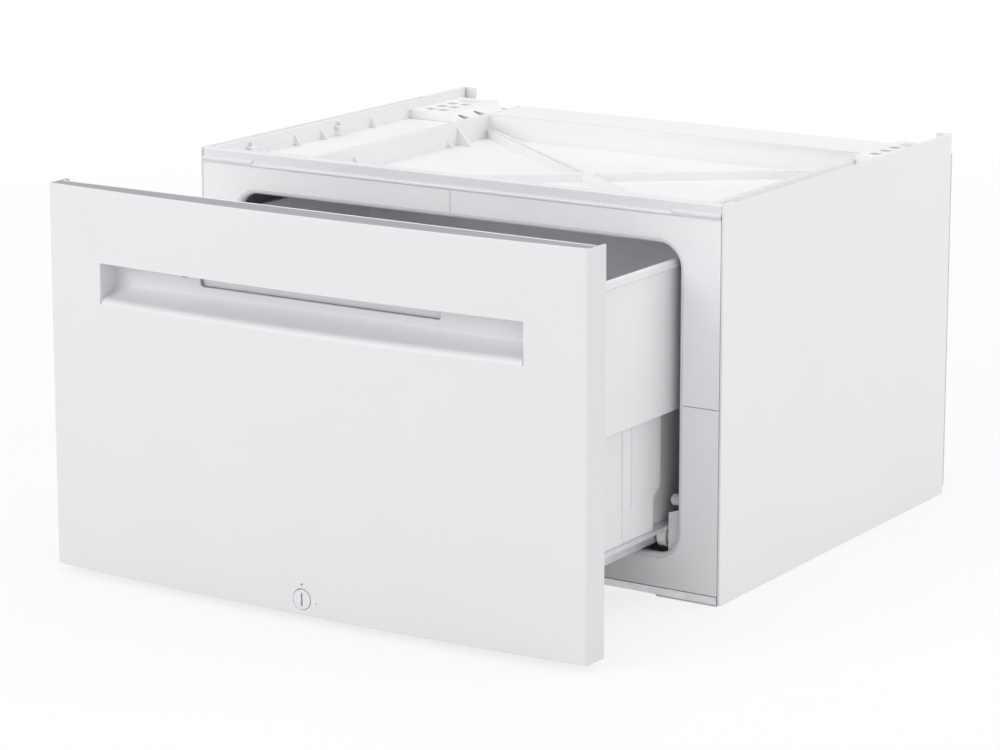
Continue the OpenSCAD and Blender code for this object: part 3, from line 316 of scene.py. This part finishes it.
def roundedRect(a0, a1, b0, b1, radius, steps=8):
    return (arc(a1 - radius, b1 - radius, radius, 0, 90, steps)
            + arc(a0 + radius, b1 - radius, radius, 90, 180, steps)
            + arc(a0 + radius, b0 + radius, radius, 180, 270, steps)
            + arc(a1 - radius, b0 + radius, radius, 270, 360, steps))


# a folded sheet: both sides of a middle line, closed
def foldedSheet(line, thickness):
    normals = []
    for i, point in enumerate(line):
        before = line[max(i - 1, 0)]
        after = line[min(i + 1, len(line) - 1)]
        along = Vector((after[0] - before[0], after[1] - before[1])).normalized()
        normals.append((-along.y * thickness / 2, along.x * thickness / 2))
    one = [(p[0] + n[0], p[1] + n[1]) for p, n in zip(line, normals)]
    other = [(p[0] - n[0], p[1] - n[1]) for p, n in zip(line, normals)]
    return one + other[::-1]


# a wall swept round an outline, from its section of (distance out, y)
def sweptRing(bm, section, outlineAt):
    rings = []
    for out, y in section:
        rings.append([bm.verts.new((x * mm, y * mm, z * mm)) for x, z in outlineAt(out)])
    for i, ring in enumerate(rings):
        after = rings[(i + 1) % len(rings)]
        for k in range(len(ring)):
            n = (k + 1) % len(ring)
            bm.faces.new((ring[k], ring[n], after[n], after[k]))


def inMm(node):
    low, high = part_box(node)
    return [value / mm for value in low], [value / mm for value in high]


# drawer front: bowed skin with the grip recess, its finger slot and the lock's hole
# sizes are in mm, and a bevel is (width, segments, least angle in degrees)
frontSize = {"bow": 12.0, "edgeRadius": 4.5, "skin": 2.0, "topReturn": 16.0, "footReturn": 10.0,
             "plateGap": 0.2, "plateLift": 0.3, "columnWidth": 12.0, "fewestColumns": 4,
             "bevel": (0.7, 3, 30)}
frontSteps = {"edge": 7, "top": 5, "ramp": 14, "lip": 7, "face": 8, "lean": 12}
gripSize = {"half": 234.5, "top": 309.5, "wall": 21.5, "runHeight": 13.6, "runDepth": 40.0, "depth": 20.0,
            "lip": 7.0}
slotSize = {"left": -135.8, "right": 132.5, "top": 306.9, "bottom": 294.2, "radius": 3.6, "margin": 1.2,
            "sideMargin": 1.5, "stepX": 117.0, "stepDown": 3.4, "stepRuns": (3.5, 2.2, -0.4, -2.0),
            "stepEase": 0.5}
lockHole = {"z": 22.5, "radius": 10.0, "reach": 11.8, "wall": 2.4, "sides": 32}


def bowRadius(halfWidth):
    return halfWidth ** 2 / (2 * frontSize["bow"]) + frontSize["bow"] / 2


# how far the bowed face lies behind its middle at x
def bowDrop(halfWidth, x):
    radius = bowRadius(halfWidth)
    return radius - math.sqrt(radius ** 2 - x ** 2)


# the outer line of the front seen from above, as (point, normal), from right to left
def frontPlan():
    low, high = inMm("drawer_front")
    radius = bowRadius(high[0])
    centre = low[1] + radius
    corner = frontSize["edgeRadius"]
    cornerX = high[0] - corner
    cornerY = centre - math.sqrt((radius - corner) ** 2 - cornerX ** 2)
    tangent = math.degrees(math.asin(cornerX / (radius - corner)))
    stations = [((x, y), (1, 0)) for x, y in ((high[0], high[1]), (high[0], (high[1] + cornerY) / 2))]
    for x, y in arc(cornerX, cornerY, corner, 0, -90 + tangent, frontSteps["edge"]):
        stations.append(((x, y), ((x - cornerX) / corner, (y - cornerY) / corner)))
    tangentX = stations[-1][0][0]
    grip, lock, margin = gripSize["half"], lockHole["reach"], slotSize["sideMargin"]
    slotLeft, slotRight = slotSize["left"] - margin, slotSize["right"] + margin
    marks = [tangentX, grip, slotRight, lock, -lock, slotLeft, -grip, -tangentX]
    for start, end in zip(marks, marks[1:]):
        pieces = max(frontSize["fewestColumns"], int((start - end) / frontSize["columnWidth"]))
        for i in range(1, pieces + 1):
            x = start + (end - start) * i / pieces
            y = centre - math.sqrt(radius ** 2 - x ** 2)
            stations.append(((x, y), (x / radius, (y - centre) / radius)))
    back = [((-x, y), (-nx, ny)) for (x, y), (nx, ny) in stations[:frontSteps["edge"] + 1]]
    return stations + back[::-1]


# one column of the skin, from the return behind its top edge down to the one behind its foot
def frontColumn(point, normal, inGrip):
    low, high = inMm("drawer_front")
    x, y = point
    skin = frontSize["skin"]
    back = low[1] + frontSize["bow"] + gripSize["depth"]
    bend = gripSize["top"] - gripSize["wall"]
    faceY = low[1] + bowDrop(high[0], min(abs(x), gripSize["half"]))
    # the ramp ends where its rounded lip can meet both the ramp and the face
    lip, deepest, rise = gripSize["lip"], gripSize["runDepth"], gripSize["runHeight"]
    lastTurn, lean = 1.0, 0.0
    for step in range(frontSteps["lean"]):
        lastTurn = math.acos(1 - (back - faceY - lip * (1 - math.sin(lean))) / deepest)
        lean = math.atan2(rise * math.cos(lastTurn), deepest * math.sin(lastTurn))
    inner = (x - normal[0] * skin, y - normal[1] * skin)
    rows = [(*inner, high[2] - frontSize["topReturn"]), (*inner, high[2])]
    count = frontSteps["top"]
    rows += [(x, y, high[2] + (gripSize["top"] - high[2]) * i / count) for i in range(count + 1)]
    margin = slotSize["margin"]
    for level in (gripSize["top"], slotSize["top"] + margin, slotSize["bottom"] - margin, bend):
        rows.append((x, back if inGrip else y, level))
    count = frontSteps["ramp"]
    for i in range(1, count + 1):
        turn = lastTurn * i / count
        run = back - deepest * (1 - math.cos(turn))
        rows.append((x, run if inGrip else y, bend - rise * math.sin(turn)))
    centreY = faceY + lip
    centreZ = rows[-1][2] - lip * math.cos(lean)
    count = frontSteps["lip"]
    for i in range(1, count + 1):
        turn = lean + (math.pi / 2 - lean) * i / count
        rows.append((x, centreY - lip * math.sin(turn) if inGrip else y, centreZ + lip * math.cos(turn)))
    lipZ = rows[-1][2]
    lockTop, lockBottom = lockHole["z"] + lockHole["reach"], lockHole["z"] - lockHole["reach"]
    count = frontSteps["face"]
    rows += [(x, y, lipZ + (lockTop - lipZ) * i / count) for i in range(1, count + 1)]
    rows += [(x, y, lockBottom), (x, y, low[2])]
    rows += [(*inner, low[2]), (*inner, low[2] + frontSize["footReturn"])]
    return rows


def drawerFront():
    bm = bmesh.new()
    grip = gripSize["half"]
    columns = []
    for point, normal in frontPlan():
        # at the recess's two ends a column of the face and one of the recess share their x
        if abs(abs(point[0]) - grip) < sameSpot:
            kinds = (False, True) if point[0] > 0 else (True, False)
        else:
            kinds = (abs(point[0]) < grip,)
        for kind in kinds:
            columns.append((point[0], frontColumn(point, normal, kind)))
    grid = [[bm.verts.new([part * mm for part in row]) for row in rows] for x, rows in columns]
    # the two windows: the slot is one row under the recess's top edge, the lock five rows from the end
    slotRow, lockRow = frontSteps["top"] + 4, len(grid[0]) - 5
    margin = slotSize["sideMargin"]
    slotLeft, slotRight = slotSize["left"] - margin, slotSize["right"] + margin
    slotCells, lockCells = [], []
    for i in range(len(grid) - 1):
        middle = (columns[i][0] + columns[i + 1][0]) / 2
        for j in range(len(grid[0]) - 1):
            if j == slotRow and slotLeft < middle < slotRight:
                slotCells.append((i, j))
                continue
            if j == lockRow and abs(middle) < lockHole["reach"]:
                lockCells.append((i, j))
                continue
            corners = [grid[i][j], grid[i][j + 1], grid[i + 1][j + 1], grid[i + 1][j]]
            spots = {tuple(round(part, 6) for part in corner.co) for corner in corners}
            if len(spots) > 2:
                bm.faces.new(corners)
    pierced(bm, grid, slotCells, slotOutline(), frontSize["skin"])
    lockOutline = circle(0, lockHole["z"], lockHole["radius"], lockHole["sides"])
    pierced(bm, grid, lockCells, lockOutline, lockHole["wall"])
    bottomPlate(bm)
    addPiece("drawer_front_skin", meshOf("drawer_front_skin", bm), "drawer", "front_plastic",
             ["drawer_front"], *frontSize["bevel"])


# the slot's outline: its upper edge steps down near the right end
def slotOutline():
    keys = ("left", "right", "top", "bottom", "radius")
    first, last, top, bottom, radius = [slotSize[key] for key in keys]
    lowTop, ease = top - slotSize["stepDown"], slotSize["stepEase"]
    levels = (lowTop, lowTop + ease, top - ease, top)
    outline = arc(last - radius, lowTop - radius, radius, 0, 90)
    outline += [(slotSize["stepX"] + run, level) for run, level in zip(slotSize["stepRuns"], levels)]
    outline += arc(first + radius, top - radius, radius, 90, 180)
    outline += arc(first + radius, bottom + radius, radius, 180, 270)
    return outline + arc(last - radius, bottom + radius, radius, 270, 360)


# the plane piece round a hole in a row of the skin, and the hole's own wall
def pierced(bm, grid, cells, outline, depth):
    row = cells[0][1]
    along = [i for i, j in cells] + [cells[-1][0] + 1]
    ring = [grid[i][row] for i in along] + [grid[i][row + 1] for i in reversed(along)]
    outer = []
    for i, vert in enumerate(ring):
        pair = (vert, ring[(i + 1) % len(ring)])
        outer.append(bm.edges.get(pair) or bm.edges.new(pair))
    wallY = ring[0].co.y
    spots = []
    for spot in outline:
        if not spots or math.dist(spot, spots[-1]) > sameSpot:
            spots.append(spot)
    if math.dist(spots[0], spots[-1]) < sameSpot:
        spots.pop()
    front = [bm.verts.new((x * mm, wallY, z * mm)) for x, z in spots]
    back = [bm.verts.new((x * mm, wallY + depth * mm, z * mm)) for x, z in spots]
    inner = []
    for i in range(len(front)):
        j = (i + 1) % len(front)
        inner.append(bm.edges.new((front[i], front[j])))
        bm.faces.new((front[i], front[j], back[j], back[i]))
    bmesh.ops.triangle_fill(bm, use_beauty=True, edges=outer + inner)


def bottomPlate(bm):
    foot = inMm("drawer_front")[0][2]
    gap = frontSize["plateGap"]
    plan = [(x - n[0] * gap, y - n[1] * gap) for (x, y), n in frontPlan()]
    prism(bm, plan, "z", foot + frontSize["plateLift"], foot + frontSize["skin"])


pocketSize = {"wall": 1.2, "grow": 0.3, "rim": 0.35, "bevel": (0.1, 2, 50)}
slotShadeSize = {"gap": 0.1, "thickness": 0.5, "endInset": 3.0, "frontInset": 0.3,
              "outerBend": (3.2, 1.2, 1.0), "innerBend": (3.4, 1.6, 1.4), "bevel": (0.1, 1, 30)}


# the pocket behind the finger slot, with a dark grey sheet on its floor and left end that paints the shade
# there
def slotPocket():
    low, high = inMm("grip_insert")
    wall, grow, rim = pocketSize["wall"], pocketSize["grow"], pocketSize["rim"]
    left, right = slotSize["left"] - grow, slotSize["right"] + grow
    bottom, top = slotSize["bottom"] - grow, slotSize["top"] + grow

    def outlineAt(out):
        return roundedRect(left - out, right + out, bottom - out, top + out, slotSize["radius"] + out)

    bm = bmesh.new()
    sweptRing(bm, [(0, low[1]), (0, high[1] - wall), (rim, high[1] - wall), (rim, low[1])], outlineAt)
    prism(bm, outlineAt(rim), "y", high[1] - wall, high[1])
    addPiece("grip_pocket", meshOf("grip_pocket", bm), "drawer", "tub_plastic",
             ["grip_insert"], *pocketSize["bevel"])

    # the painted-shade sheet's left corner, at a distance from the pocket's wall
    def corner(inset, bend):
        far, nearX, nearZ = bend
        return [(left + inset, bottom + far), (left + nearX, bottom + nearZ), (left + far, bottom + inset)]

    gap, end = slotShadeSize["gap"], slotShadeSize["endInset"]
    inside = gap + slotShadeSize["thickness"]
    outline = [(left + gap, top - end)] + corner(gap, slotShadeSize["outerBend"])
    outline += [(right - end, bottom + gap), (right - end, bottom + inside)]
    outline += corner(inside, slotShadeSize["innerBend"])[::-1] + [(left + inside, top - end)]
    # painted shade: a dark grey sheet lining the slot pocket's floor and left end
    bm = bmesh.new()
    prism(bm, outline, "y", low[1] + slotShadeSize["frontInset"], high[1] - wall - gap)
    addPiece("grip_painted_shade", meshOf("grip_painted_shade", bm), "drawer", "grey_plastic", [], *slotShadeSize["bevel"])


# small details of the front: the marks at the lock, a dark grey plate that paints shade on the floor of its
# coin slot, a nib at the grip's edge
markSize = {"triangle": (0.0, 36.6, 1.7), "triangleFoot": 0.6, "dot": (16.0, 20.6, 0.8), "dotSides": 24,
            "proud": 0.12, "root": 0.5}
nibSize = {"left": -135.0, "right": -129.0, "low": 308.4, "high": 309.7, "slope": 0.6, "near": 0.3,
           "far": 3.0, "bevel": (0.2, 2, 30)}
coinSlotShade = {"half": 0.95, "reach": 6.2, "depth": 1.42, "roundness": 0.9, "steps": 4, "plate": 0.3}


def frontDetails():
    low, high = inMm("drawer_front")
    face = low[1]
    bm = bmesh.new()
    x, z, reach = markSize["triangle"]
    foot = z + reach * markSize["triangleFoot"]
    prism(bm, [(x - reach, foot), (x, z - reach), (x + reach, foot)], "y",
          face - markSize["proud"], face + markSize["root"])
    x, z, reach = markSize["dot"]
    prism(bm, circle(x, z, reach, markSize["dotSides"]), "y",
          face - markSize["proud"] / 2, face + markSize["root"])
    addPiece("lock_marks", meshOf("lock_marks", bm), "drawer", "grey_plastic", [])
    x0, x1, z0, z1, slope = [nibSize[key] for key in ("left", "right", "low", "high", "slope")]
    faceAtNib = face + bowDrop(high[0], x0)
    bm = bmesh.new()
    prism(bm, [(x0, z0), (x1, z0), (x1 - slope, z1), (x0 + slope, z1)], "y",
          faceAtNib + nibSize["near"], faceAtNib + nibSize["far"])
    addPiece("grip_nib", meshOf("grip_nib", bm), "drawer", "grey_plastic", [], *nibSize["bevel"])
    # painted shade: a dark grey plate at the floor of the lock knob's coin slot
    half, reach, z = coinSlotShade["half"], coinSlotShade["reach"], lockHole["z"]
    floorY = inMm("lock_knob")[0][1] + coinSlotShade["depth"]
    radius = half * coinSlotShade["roundness"]
    outline = roundedRect(-half, half, z - reach, z + reach, radius, coinSlotShade["steps"])
    bm = bmesh.new()
    prism(bm, outline, "y", floorY - coinSlotShade["plate"], floorY)
    addPiece("coin_slot_painted_shade", meshOf("coin_slot_painted_shade", bm), "lock", "grey_plastic", [])


drawerFront()
slotPocket()
frontDetails()
print("drawer front built")


# cabinet: side panels of folded sheet, with a hem in front and a flange behind
sideSheet = {"thickness": 1.2, "hemDepth": 14.0, "hemWidth": 3.0, "hemSteps": 8, "foldRadius": 1.8,
             "flange": 18.0, "bevel": (0.25, 2, 50)}


def sidePanel(side, name):
    low, high = inMm("side_panel_" + name)
    outer = max(abs(low[0]), abs(high[0]))
    thickness, fold = sideSheet["thickness"], sideSheet["foldRadius"]
    hemX = outer - sideSheet["hemWidth"] + thickness / 2
    skinX = outer - thickness / 2
    hemRadius = (skinX - hemX) / 2
    backY = high[1] - thickness / 2
    hemY = low[1] + hemRadius + thickness / 2
    line = [(hemX, low[1] + sideSheet["hemDepth"])]
    line += arc((hemX + skinX) / 2, hemY, hemRadius, 180, 360, sideSheet["hemSteps"])
    line += arc(skinX - fold, backY - fold, fold, 0, 90)
    line.append((outer - sideSheet["flange"], backY))
    bm = bmesh.new()
    prism(bm, [(side * x, y) for x, y in foldedSheet(line, thickness)], "z", low[2], high[2])
    addPiece("side_sheet_" + name, meshOf("side_sheet_" + name, bm), "cabinet", "side_steel",
             ["side_panel_" + name], *sideSheet["bevel"])


trimSize = {"bead": 4.0, "beadSteps": 8, "corner": 23.0, "steps": 14, "flange": 5.0, "flangeFront": 2.2,
            "flangeBack": 3.8, "wall": 1.8, "edge": 0.4, "bevel": (0.2, 2, 40)}


# the trim of the opening: a ring with one cross-section, a bead with a flange and a wall behind it
def openingTrim():
    low, high = inMm("opening_trim")
    bead, wall, edge = trimSize["bead"], trimSize["wall"], trimSize["edge"]
    reach = bead + trimSize["flange"]
    x1, z0, z1 = high[0] - reach, low[2] + reach, high[2] - reach
    front, back = low[1], high[1]
    flangeFront, flangeBack = front + trimSize["flangeFront"], front + trimSize["flangeBack"]
    section = arc(bead, front + bead, bead, 270, 180, trimSize["beadSteps"])
    section += [(0, back - edge), (edge, back), (wall - edge, back), (wall, back - edge)]
    section += [(wall, flangeBack), (reach, flangeBack), (reach, flangeFront), (bead, flangeFront)]

    def outlineAt(out):
        radius = trimSize["corner"] + out
        return roundedRect(-x1 - out, x1 + out, z0 - out, z1 + out, radius, trimSize["steps"])

    bm = bmesh.new()
    sweptRing(bm, section, outlineAt)
    addPiece("opening_trim_shown", meshOf("opening_trim_shown", bm), "cabinet", "trim_plastic",
             ["opening_trim"], *trimSize["bevel"])


railSize = {"wall": 2.0, "lipHeight": 2.6, "lipOut": 1.0, "lipRadius": 1.1, "bandBack": 1.0,
            "bandLift": 0.2, "endHeight": 5.6, "endLengths": (61.0, 52.0), "height": 13.5, "footDrop": 0.35,
            "topRounding": 1.2, "topSteps": 5, "edgeRadius": 0.8, "edgeSteps": 4, "bevel": (0.3, 2, 40)}


# the band over the fascia: a thin lip along its foot, thicker at both ends
def topFrontRail():
    low, high = inMm("top_front_rail")
    wall, lip, edge, soft = [railSize[key] for key in ("wall", "lipHeight", "edgeRadius", "topRounding")]
    lipRadius, softSteps, edgeSteps = [railSize[key] for key in ("lipRadius", "topSteps", "edgeSteps")]
    frontY, backY, topZ = low[1], high[1], high[2]
    bandY = frontY + railSize["lipOut"] + railSize["bandBack"]
    footZ = topZ - railSize["height"] - railSize["footDrop"]
    lipTop = footZ + lip + railSize["footDrop"]
    outline = [(bandY + wall, footZ)] + arc(frontY + edge, footZ + edge, edge, 270, 180, edgeSteps)
    outline += arc(frontY + lipRadius, lipTop - lipRadius, lipRadius, 180, 90, softSteps)
    outline.append((bandY, lipTop + railSize["bandLift"]))
    outline += arc(bandY + soft, topZ - soft, soft, 180, 90, softSteps)
    outline += arc(backY - edge, topZ - edge, edge, 90, 0, edgeSteps)
    outline += [(backY, low[2]), (backY - wall, low[2])]
    outline += [(backY - wall, topZ - wall), (bandY + wall, topZ - wall)]
    bm = bmesh.new()
    prism(bm, outline, "x", low[0], high[0])
    endTop = footZ + railSize["endHeight"]
    for side, length in zip((-1, 1), railSize["endLengths"]):
        start, stop = sorted((side * high[0], side * (high[0] - length)))
        block = [(bandY + wall / 2, footZ + lip / 2), (frontY, footZ + lip / 2)]
        block += arc(frontY + soft, endTop - soft, soft, 180, 90, softSteps) + [(bandY + wall / 2, endTop)]
        prism(bm, block, "x", start, stop)
    addPiece("top_front_rail_shown", meshOf("top_front_rail_shown", bm), "cabinet", "trim_plastic",
             ["top_front_rail"], *railSize["bevel"])


for side, name in ((-1, "left"), (1, "right")):
    sidePanel(side, name)
openingTrim()
topFrontRail()

# how far the edges of the copied solids are rounded, in mm
rounded = {"fascia": 0.18, "rail": 0.2, "screw": 0.25, "sheet": 0.3, "knob": 0.35, "moulding": 0.4,
           "tray": 0.5, "tub": 0.6, "collar": 1.1}

sides = ("left", "right")
for corner in ("top_left", "top_right", "bottom_left", "bottom_right"):
    roundedCopy("front_frame_" + corner, "cabinet", "fascia_plastic", rounded["fascia"])
roundedCopy("front_inner_frame", "cabinet", "zinc_steel", rounded["sheet"])
roundedCopy("back_panel", "cabinet", "back_steel", rounded["moulding"])
for rail in ("base_front_rail", "base_rear_rail", "base_side_rail_left", "base_side_rail_right"):
    roundedCopy(rail, "cabinet", "zinc_steel", rounded["rail"])
for side in sides:
    for place in ("front", "rear"):
        roundedCopy("foot_pad_%s_%s" % (place, side), "cabinet", "foot_plastic", rounded["moulding"])
print("cabinet built")

# top
roundedCopy("top_tray", "cabinet", "tray_plastic", rounded["tray"])
roundedCopy("tray_clips", "cabinet", "tray_plastic", rounded["sheet"])
for side in sides:
    for node in ("side_rail_", "rear_foot_block_", "front_foot_plate_"):
        roundedCopy(node + side, "cabinet", "tray_plastic", rounded["moulding"])
print("top built")

# drawer and its running gear
roundedCopy("inner_panel", "drawer", "grey_plastic", rounded["sheet"])
highlightBeadSize = {"bandDepth": 19.0, "width": 1.2, "high": 0.6, "inset": 2.0, "root": 0.5, "chamfer": 0.4,
            "gap": 0.05, "bevel": (0.2, 2, 30)}


# a raised bead along the back edge of the grey panel's top band, in a light plastic that also paints a
# highlight on that edge
def paintedHighlightBead():
    low, high = inMm("inner_panel")
    edgeY = inMm("drawer_front")[0][1] + frontSize["bow"] + highlightBeadSize["bandDepth"]
    x = high[0] - highlightBeadSize["inset"]
    y0, y1 = edgeY - highlightBeadSize["width"], edgeY - highlightBeadSize["gap"]
    foot, top, chamfer = high[2] - highlightBeadSize["root"], high[2] + highlightBeadSize["high"], highlightBeadSize["chamfer"]
    outline = [(y0, foot), (y0, top - chamfer), (y0 + chamfer, top)]
    outline += [(y1 - chamfer, top), (y1, top - chamfer), (y1, foot)]
    bm = bmesh.new()
    prism(bm, outline, "x", -x, x)
    # the bead is real raised geometry; its light colour against the grey band is partly painted highlight
    addPiece("panel_bead_painted_highlight", meshOf("panel_bead_painted_highlight", bm), "drawer", "fascia_plastic", [], *highlightBeadSize["bevel"])


paintedHighlightBead()
roundedCopy("lock_housing", "drawer", "grey_plastic", rounded["sheet"])
roundedCopy("drawer_tub", "drawer", "tub_plastic", rounded["tub"])
roundedCopy("tub_collar", "drawer", "tub_plastic", rounded["collar"], segments=4)
roundedCopy("tub_front_plate", "drawer", "tub_plastic", rounded["moulding"])
roundedCopy("lock_knob", "lock", "front_plastic", rounded["knob"], segments=3)
roundedCopy("lock_cam", "lock", "zinc_steel", rounded["sheet"])
roundedCopy("lock_cam_screw", "lock", "pin_steel", rounded["screw"])
for screws, body in (("drawer_front_screws", "drawer"), ("drawer_rail_screws", "drawer"),
                     ("frame_screws", "cabinet"), ("back_panel_screws", "cabinet")):
    roundedCopy(screws, body, "pin_steel", rounded["screw"])
for side in sides:
    roundedCopy("drawer_rail_" + side, "drawer", "zinc_steel", rounded["sheet"])
    roundedCopy("drawer_stop_" + side, "drawer", "stop_rubber", rounded["moulding"])
    roundedCopy("rear_roller_pin_" + side, "drawer", "pin_steel", rounded["screw"])
    roundedCopy("runner_" + side, "cabinet", "zinc_steel", rounded["sheet"])
    roundedCopy("runner_supports_" + side, "cabinet", "zinc_steel", rounded["sheet"])
    roundedCopy("roller_bracket_" + side, "cabinet", "trim_plastic", rounded["sheet"])
    roundedCopy("guide_peg_" + side, "cabinet", "trim_plastic", rounded["sheet"])
    roundedCopy("front_roller_pin_" + side, "cabinet", "pin_steel", rounded["screw"])
    for place in ("front", "rear"):
        roller = "%s_roller_%s" % (place, side)
        roundedCopy(roller, roller + "_body", "roller_plastic", rounded["moulding"])
print("drawer built")


# floor, light and camera, in metres; the lamps' sizes and powers light a colour about as it is written
studio = {
    "worldLight": 0.64, "floorReach": 9, "floorTone": 0.86, "aim": (0, -0.1, 0.2),
    "glowNear": 0.78, "glowFar": 1.0, "glowStart": 0.7, "glowEnd": 2.4,
    "underX": 0.29, "underY": 0.23, "underSoft": 0.03,
    "front": {"place": (-1.9, -4.1, 2.1), "size": 2.8, "power": 78},
    "fill": {"place": (2.9, -2.7, 1.0), "size": 1.6, "power": 14},
    "side": {"place": (2.9, 1.5, 1.7), "size": 2.2, "power": 26},
    "top": {"place": (0.0, 0.2, 3.0), "size": 2.8, "power": 31},
}


def studioFloor():
    bm = bmesh.new()
    bmesh.ops.create_grid(bm, x_segments=2, y_segments=2, size=studio["floorReach"])
    mesh = bpy.data.meshes.new("studio_floor")
    bm.to_mesh(mesh)
    bm.free()
    floor = bpy.data.objects.new("studio_floor", mesh)
    bpy.context.scene.collection.objects.link(floor)
    paint = newPaint("studio_floor")
    look = paint.node("ShaderNodeBsdfDiffuse", {}, {"Color": (*[studio["floorTone"]] * 3, 1)})["BSDF"]
    glow = paint.node("ShaderNodeEmission", {}, {"Color": (1, 1, 1, 1), "Strength": 1.0})["Emission"]
    rays = paint.node("ShaderNodeLightPath")
    seen = rays["Is Camera Ray"] + rays["Is Glossy Ray"] + rays["Is Transmission Ray"]
    away = paint.node("ShaderNodeVectorMath", {"operation": "LENGTH"}, {0: paint.place})["Value"]
    white = paint.ramp(away, studio["glowStart"], studio["glowEnd"], studio["glowNear"], studio["glowFar"])
    # under the cabinet the floor shows its own shade only
    across = paint.node("ShaderNodeSeparateXYZ", {}, {"Vector": paint.place})
    edges = [paint.ramp(abs(across[axis]), studio[key] - studio["underSoft"], studio[key])
             for axis, key in (("X", "underX"), ("Y", "underY"))]
    shine = seen * white * paint.larger(*edges)
    mixed = paint.node("ShaderNodeMixShader", {}, {0: shine, 1: look, 2: glow})["Shader"]
    paint.node("ShaderNodeOutputMaterial", {}, {"Surface": mixed})
    mesh.materials.append(paint.owner)


# the world lights at one level and shows white to the camera
def studioWorld():
    world = bpy.data.worlds.new("studio_world")
    bpy.context.scene.world = world
    sky = Paint(world)
    rays = sky.node("ShaderNodeLightPath")
    seen = sky.larger(rays["Is Camera Ray"], rays["Is Transmission Ray"])
    strength = seen * (1 - studio["worldLight"]) + studio["worldLight"]
    back = sky.node("ShaderNodeBackground", {}, {"Color": (1, 1, 1, 1), "Strength": strength})
    sky.node("ShaderNodeOutputWorld", {}, {"Surface": back["Background"]})


def softLamp(name, spec):
    lamp = bpy.data.lights.new(name, "AREA")
    lamp.shape = "SQUARE"
    lamp.size = spec["size"]
    lamp.energy = spec["power"]
    holder = bpy.data.objects.new(name, lamp)
    bpy.context.scene.collection.objects.link(holder)
    holder.location = spec["place"]
    towards = Vector(studio["aim"]) - Vector(spec["place"])
    holder.rotation_euler = towards.to_track_quat("-Z", "Y").to_euler()


cameraView = {"place": (1.81510, -2.98307, 0.96420), "yaw": 32.661, "down": 11.705, "lens": 125.99,
              "sensor": 36, "shiftY": -0.10, "nearest": 0.05}


def photoCamera():
    camera = bpy.data.cameras.new("photo_camera")
    camera.sensor_width = cameraView["sensor"]
    camera.lens = cameraView["lens"]
    camera.shift_y = cameraView["shiftY"]
    camera.clip_start = cameraView["nearest"]
    holder = bpy.data.objects.new("photo_camera", camera)
    bpy.context.scene.collection.objects.link(holder)
    holder.location = cameraView["place"]
    holder.rotation_euler = (math.radians(90 - cameraView["down"]), 0, math.radians(cameraView["yaw"]))
    bpy.context.scene.camera = holder


studioFloor()
studioWorld()
for lampName in ("front", "fill", "side", "top"):
    softLamp(lampName + "_lamp", studio[lampName])
photoCamera()
bpy.context.scene.view_settings.view_transform = "Standard"
print("stage ready")
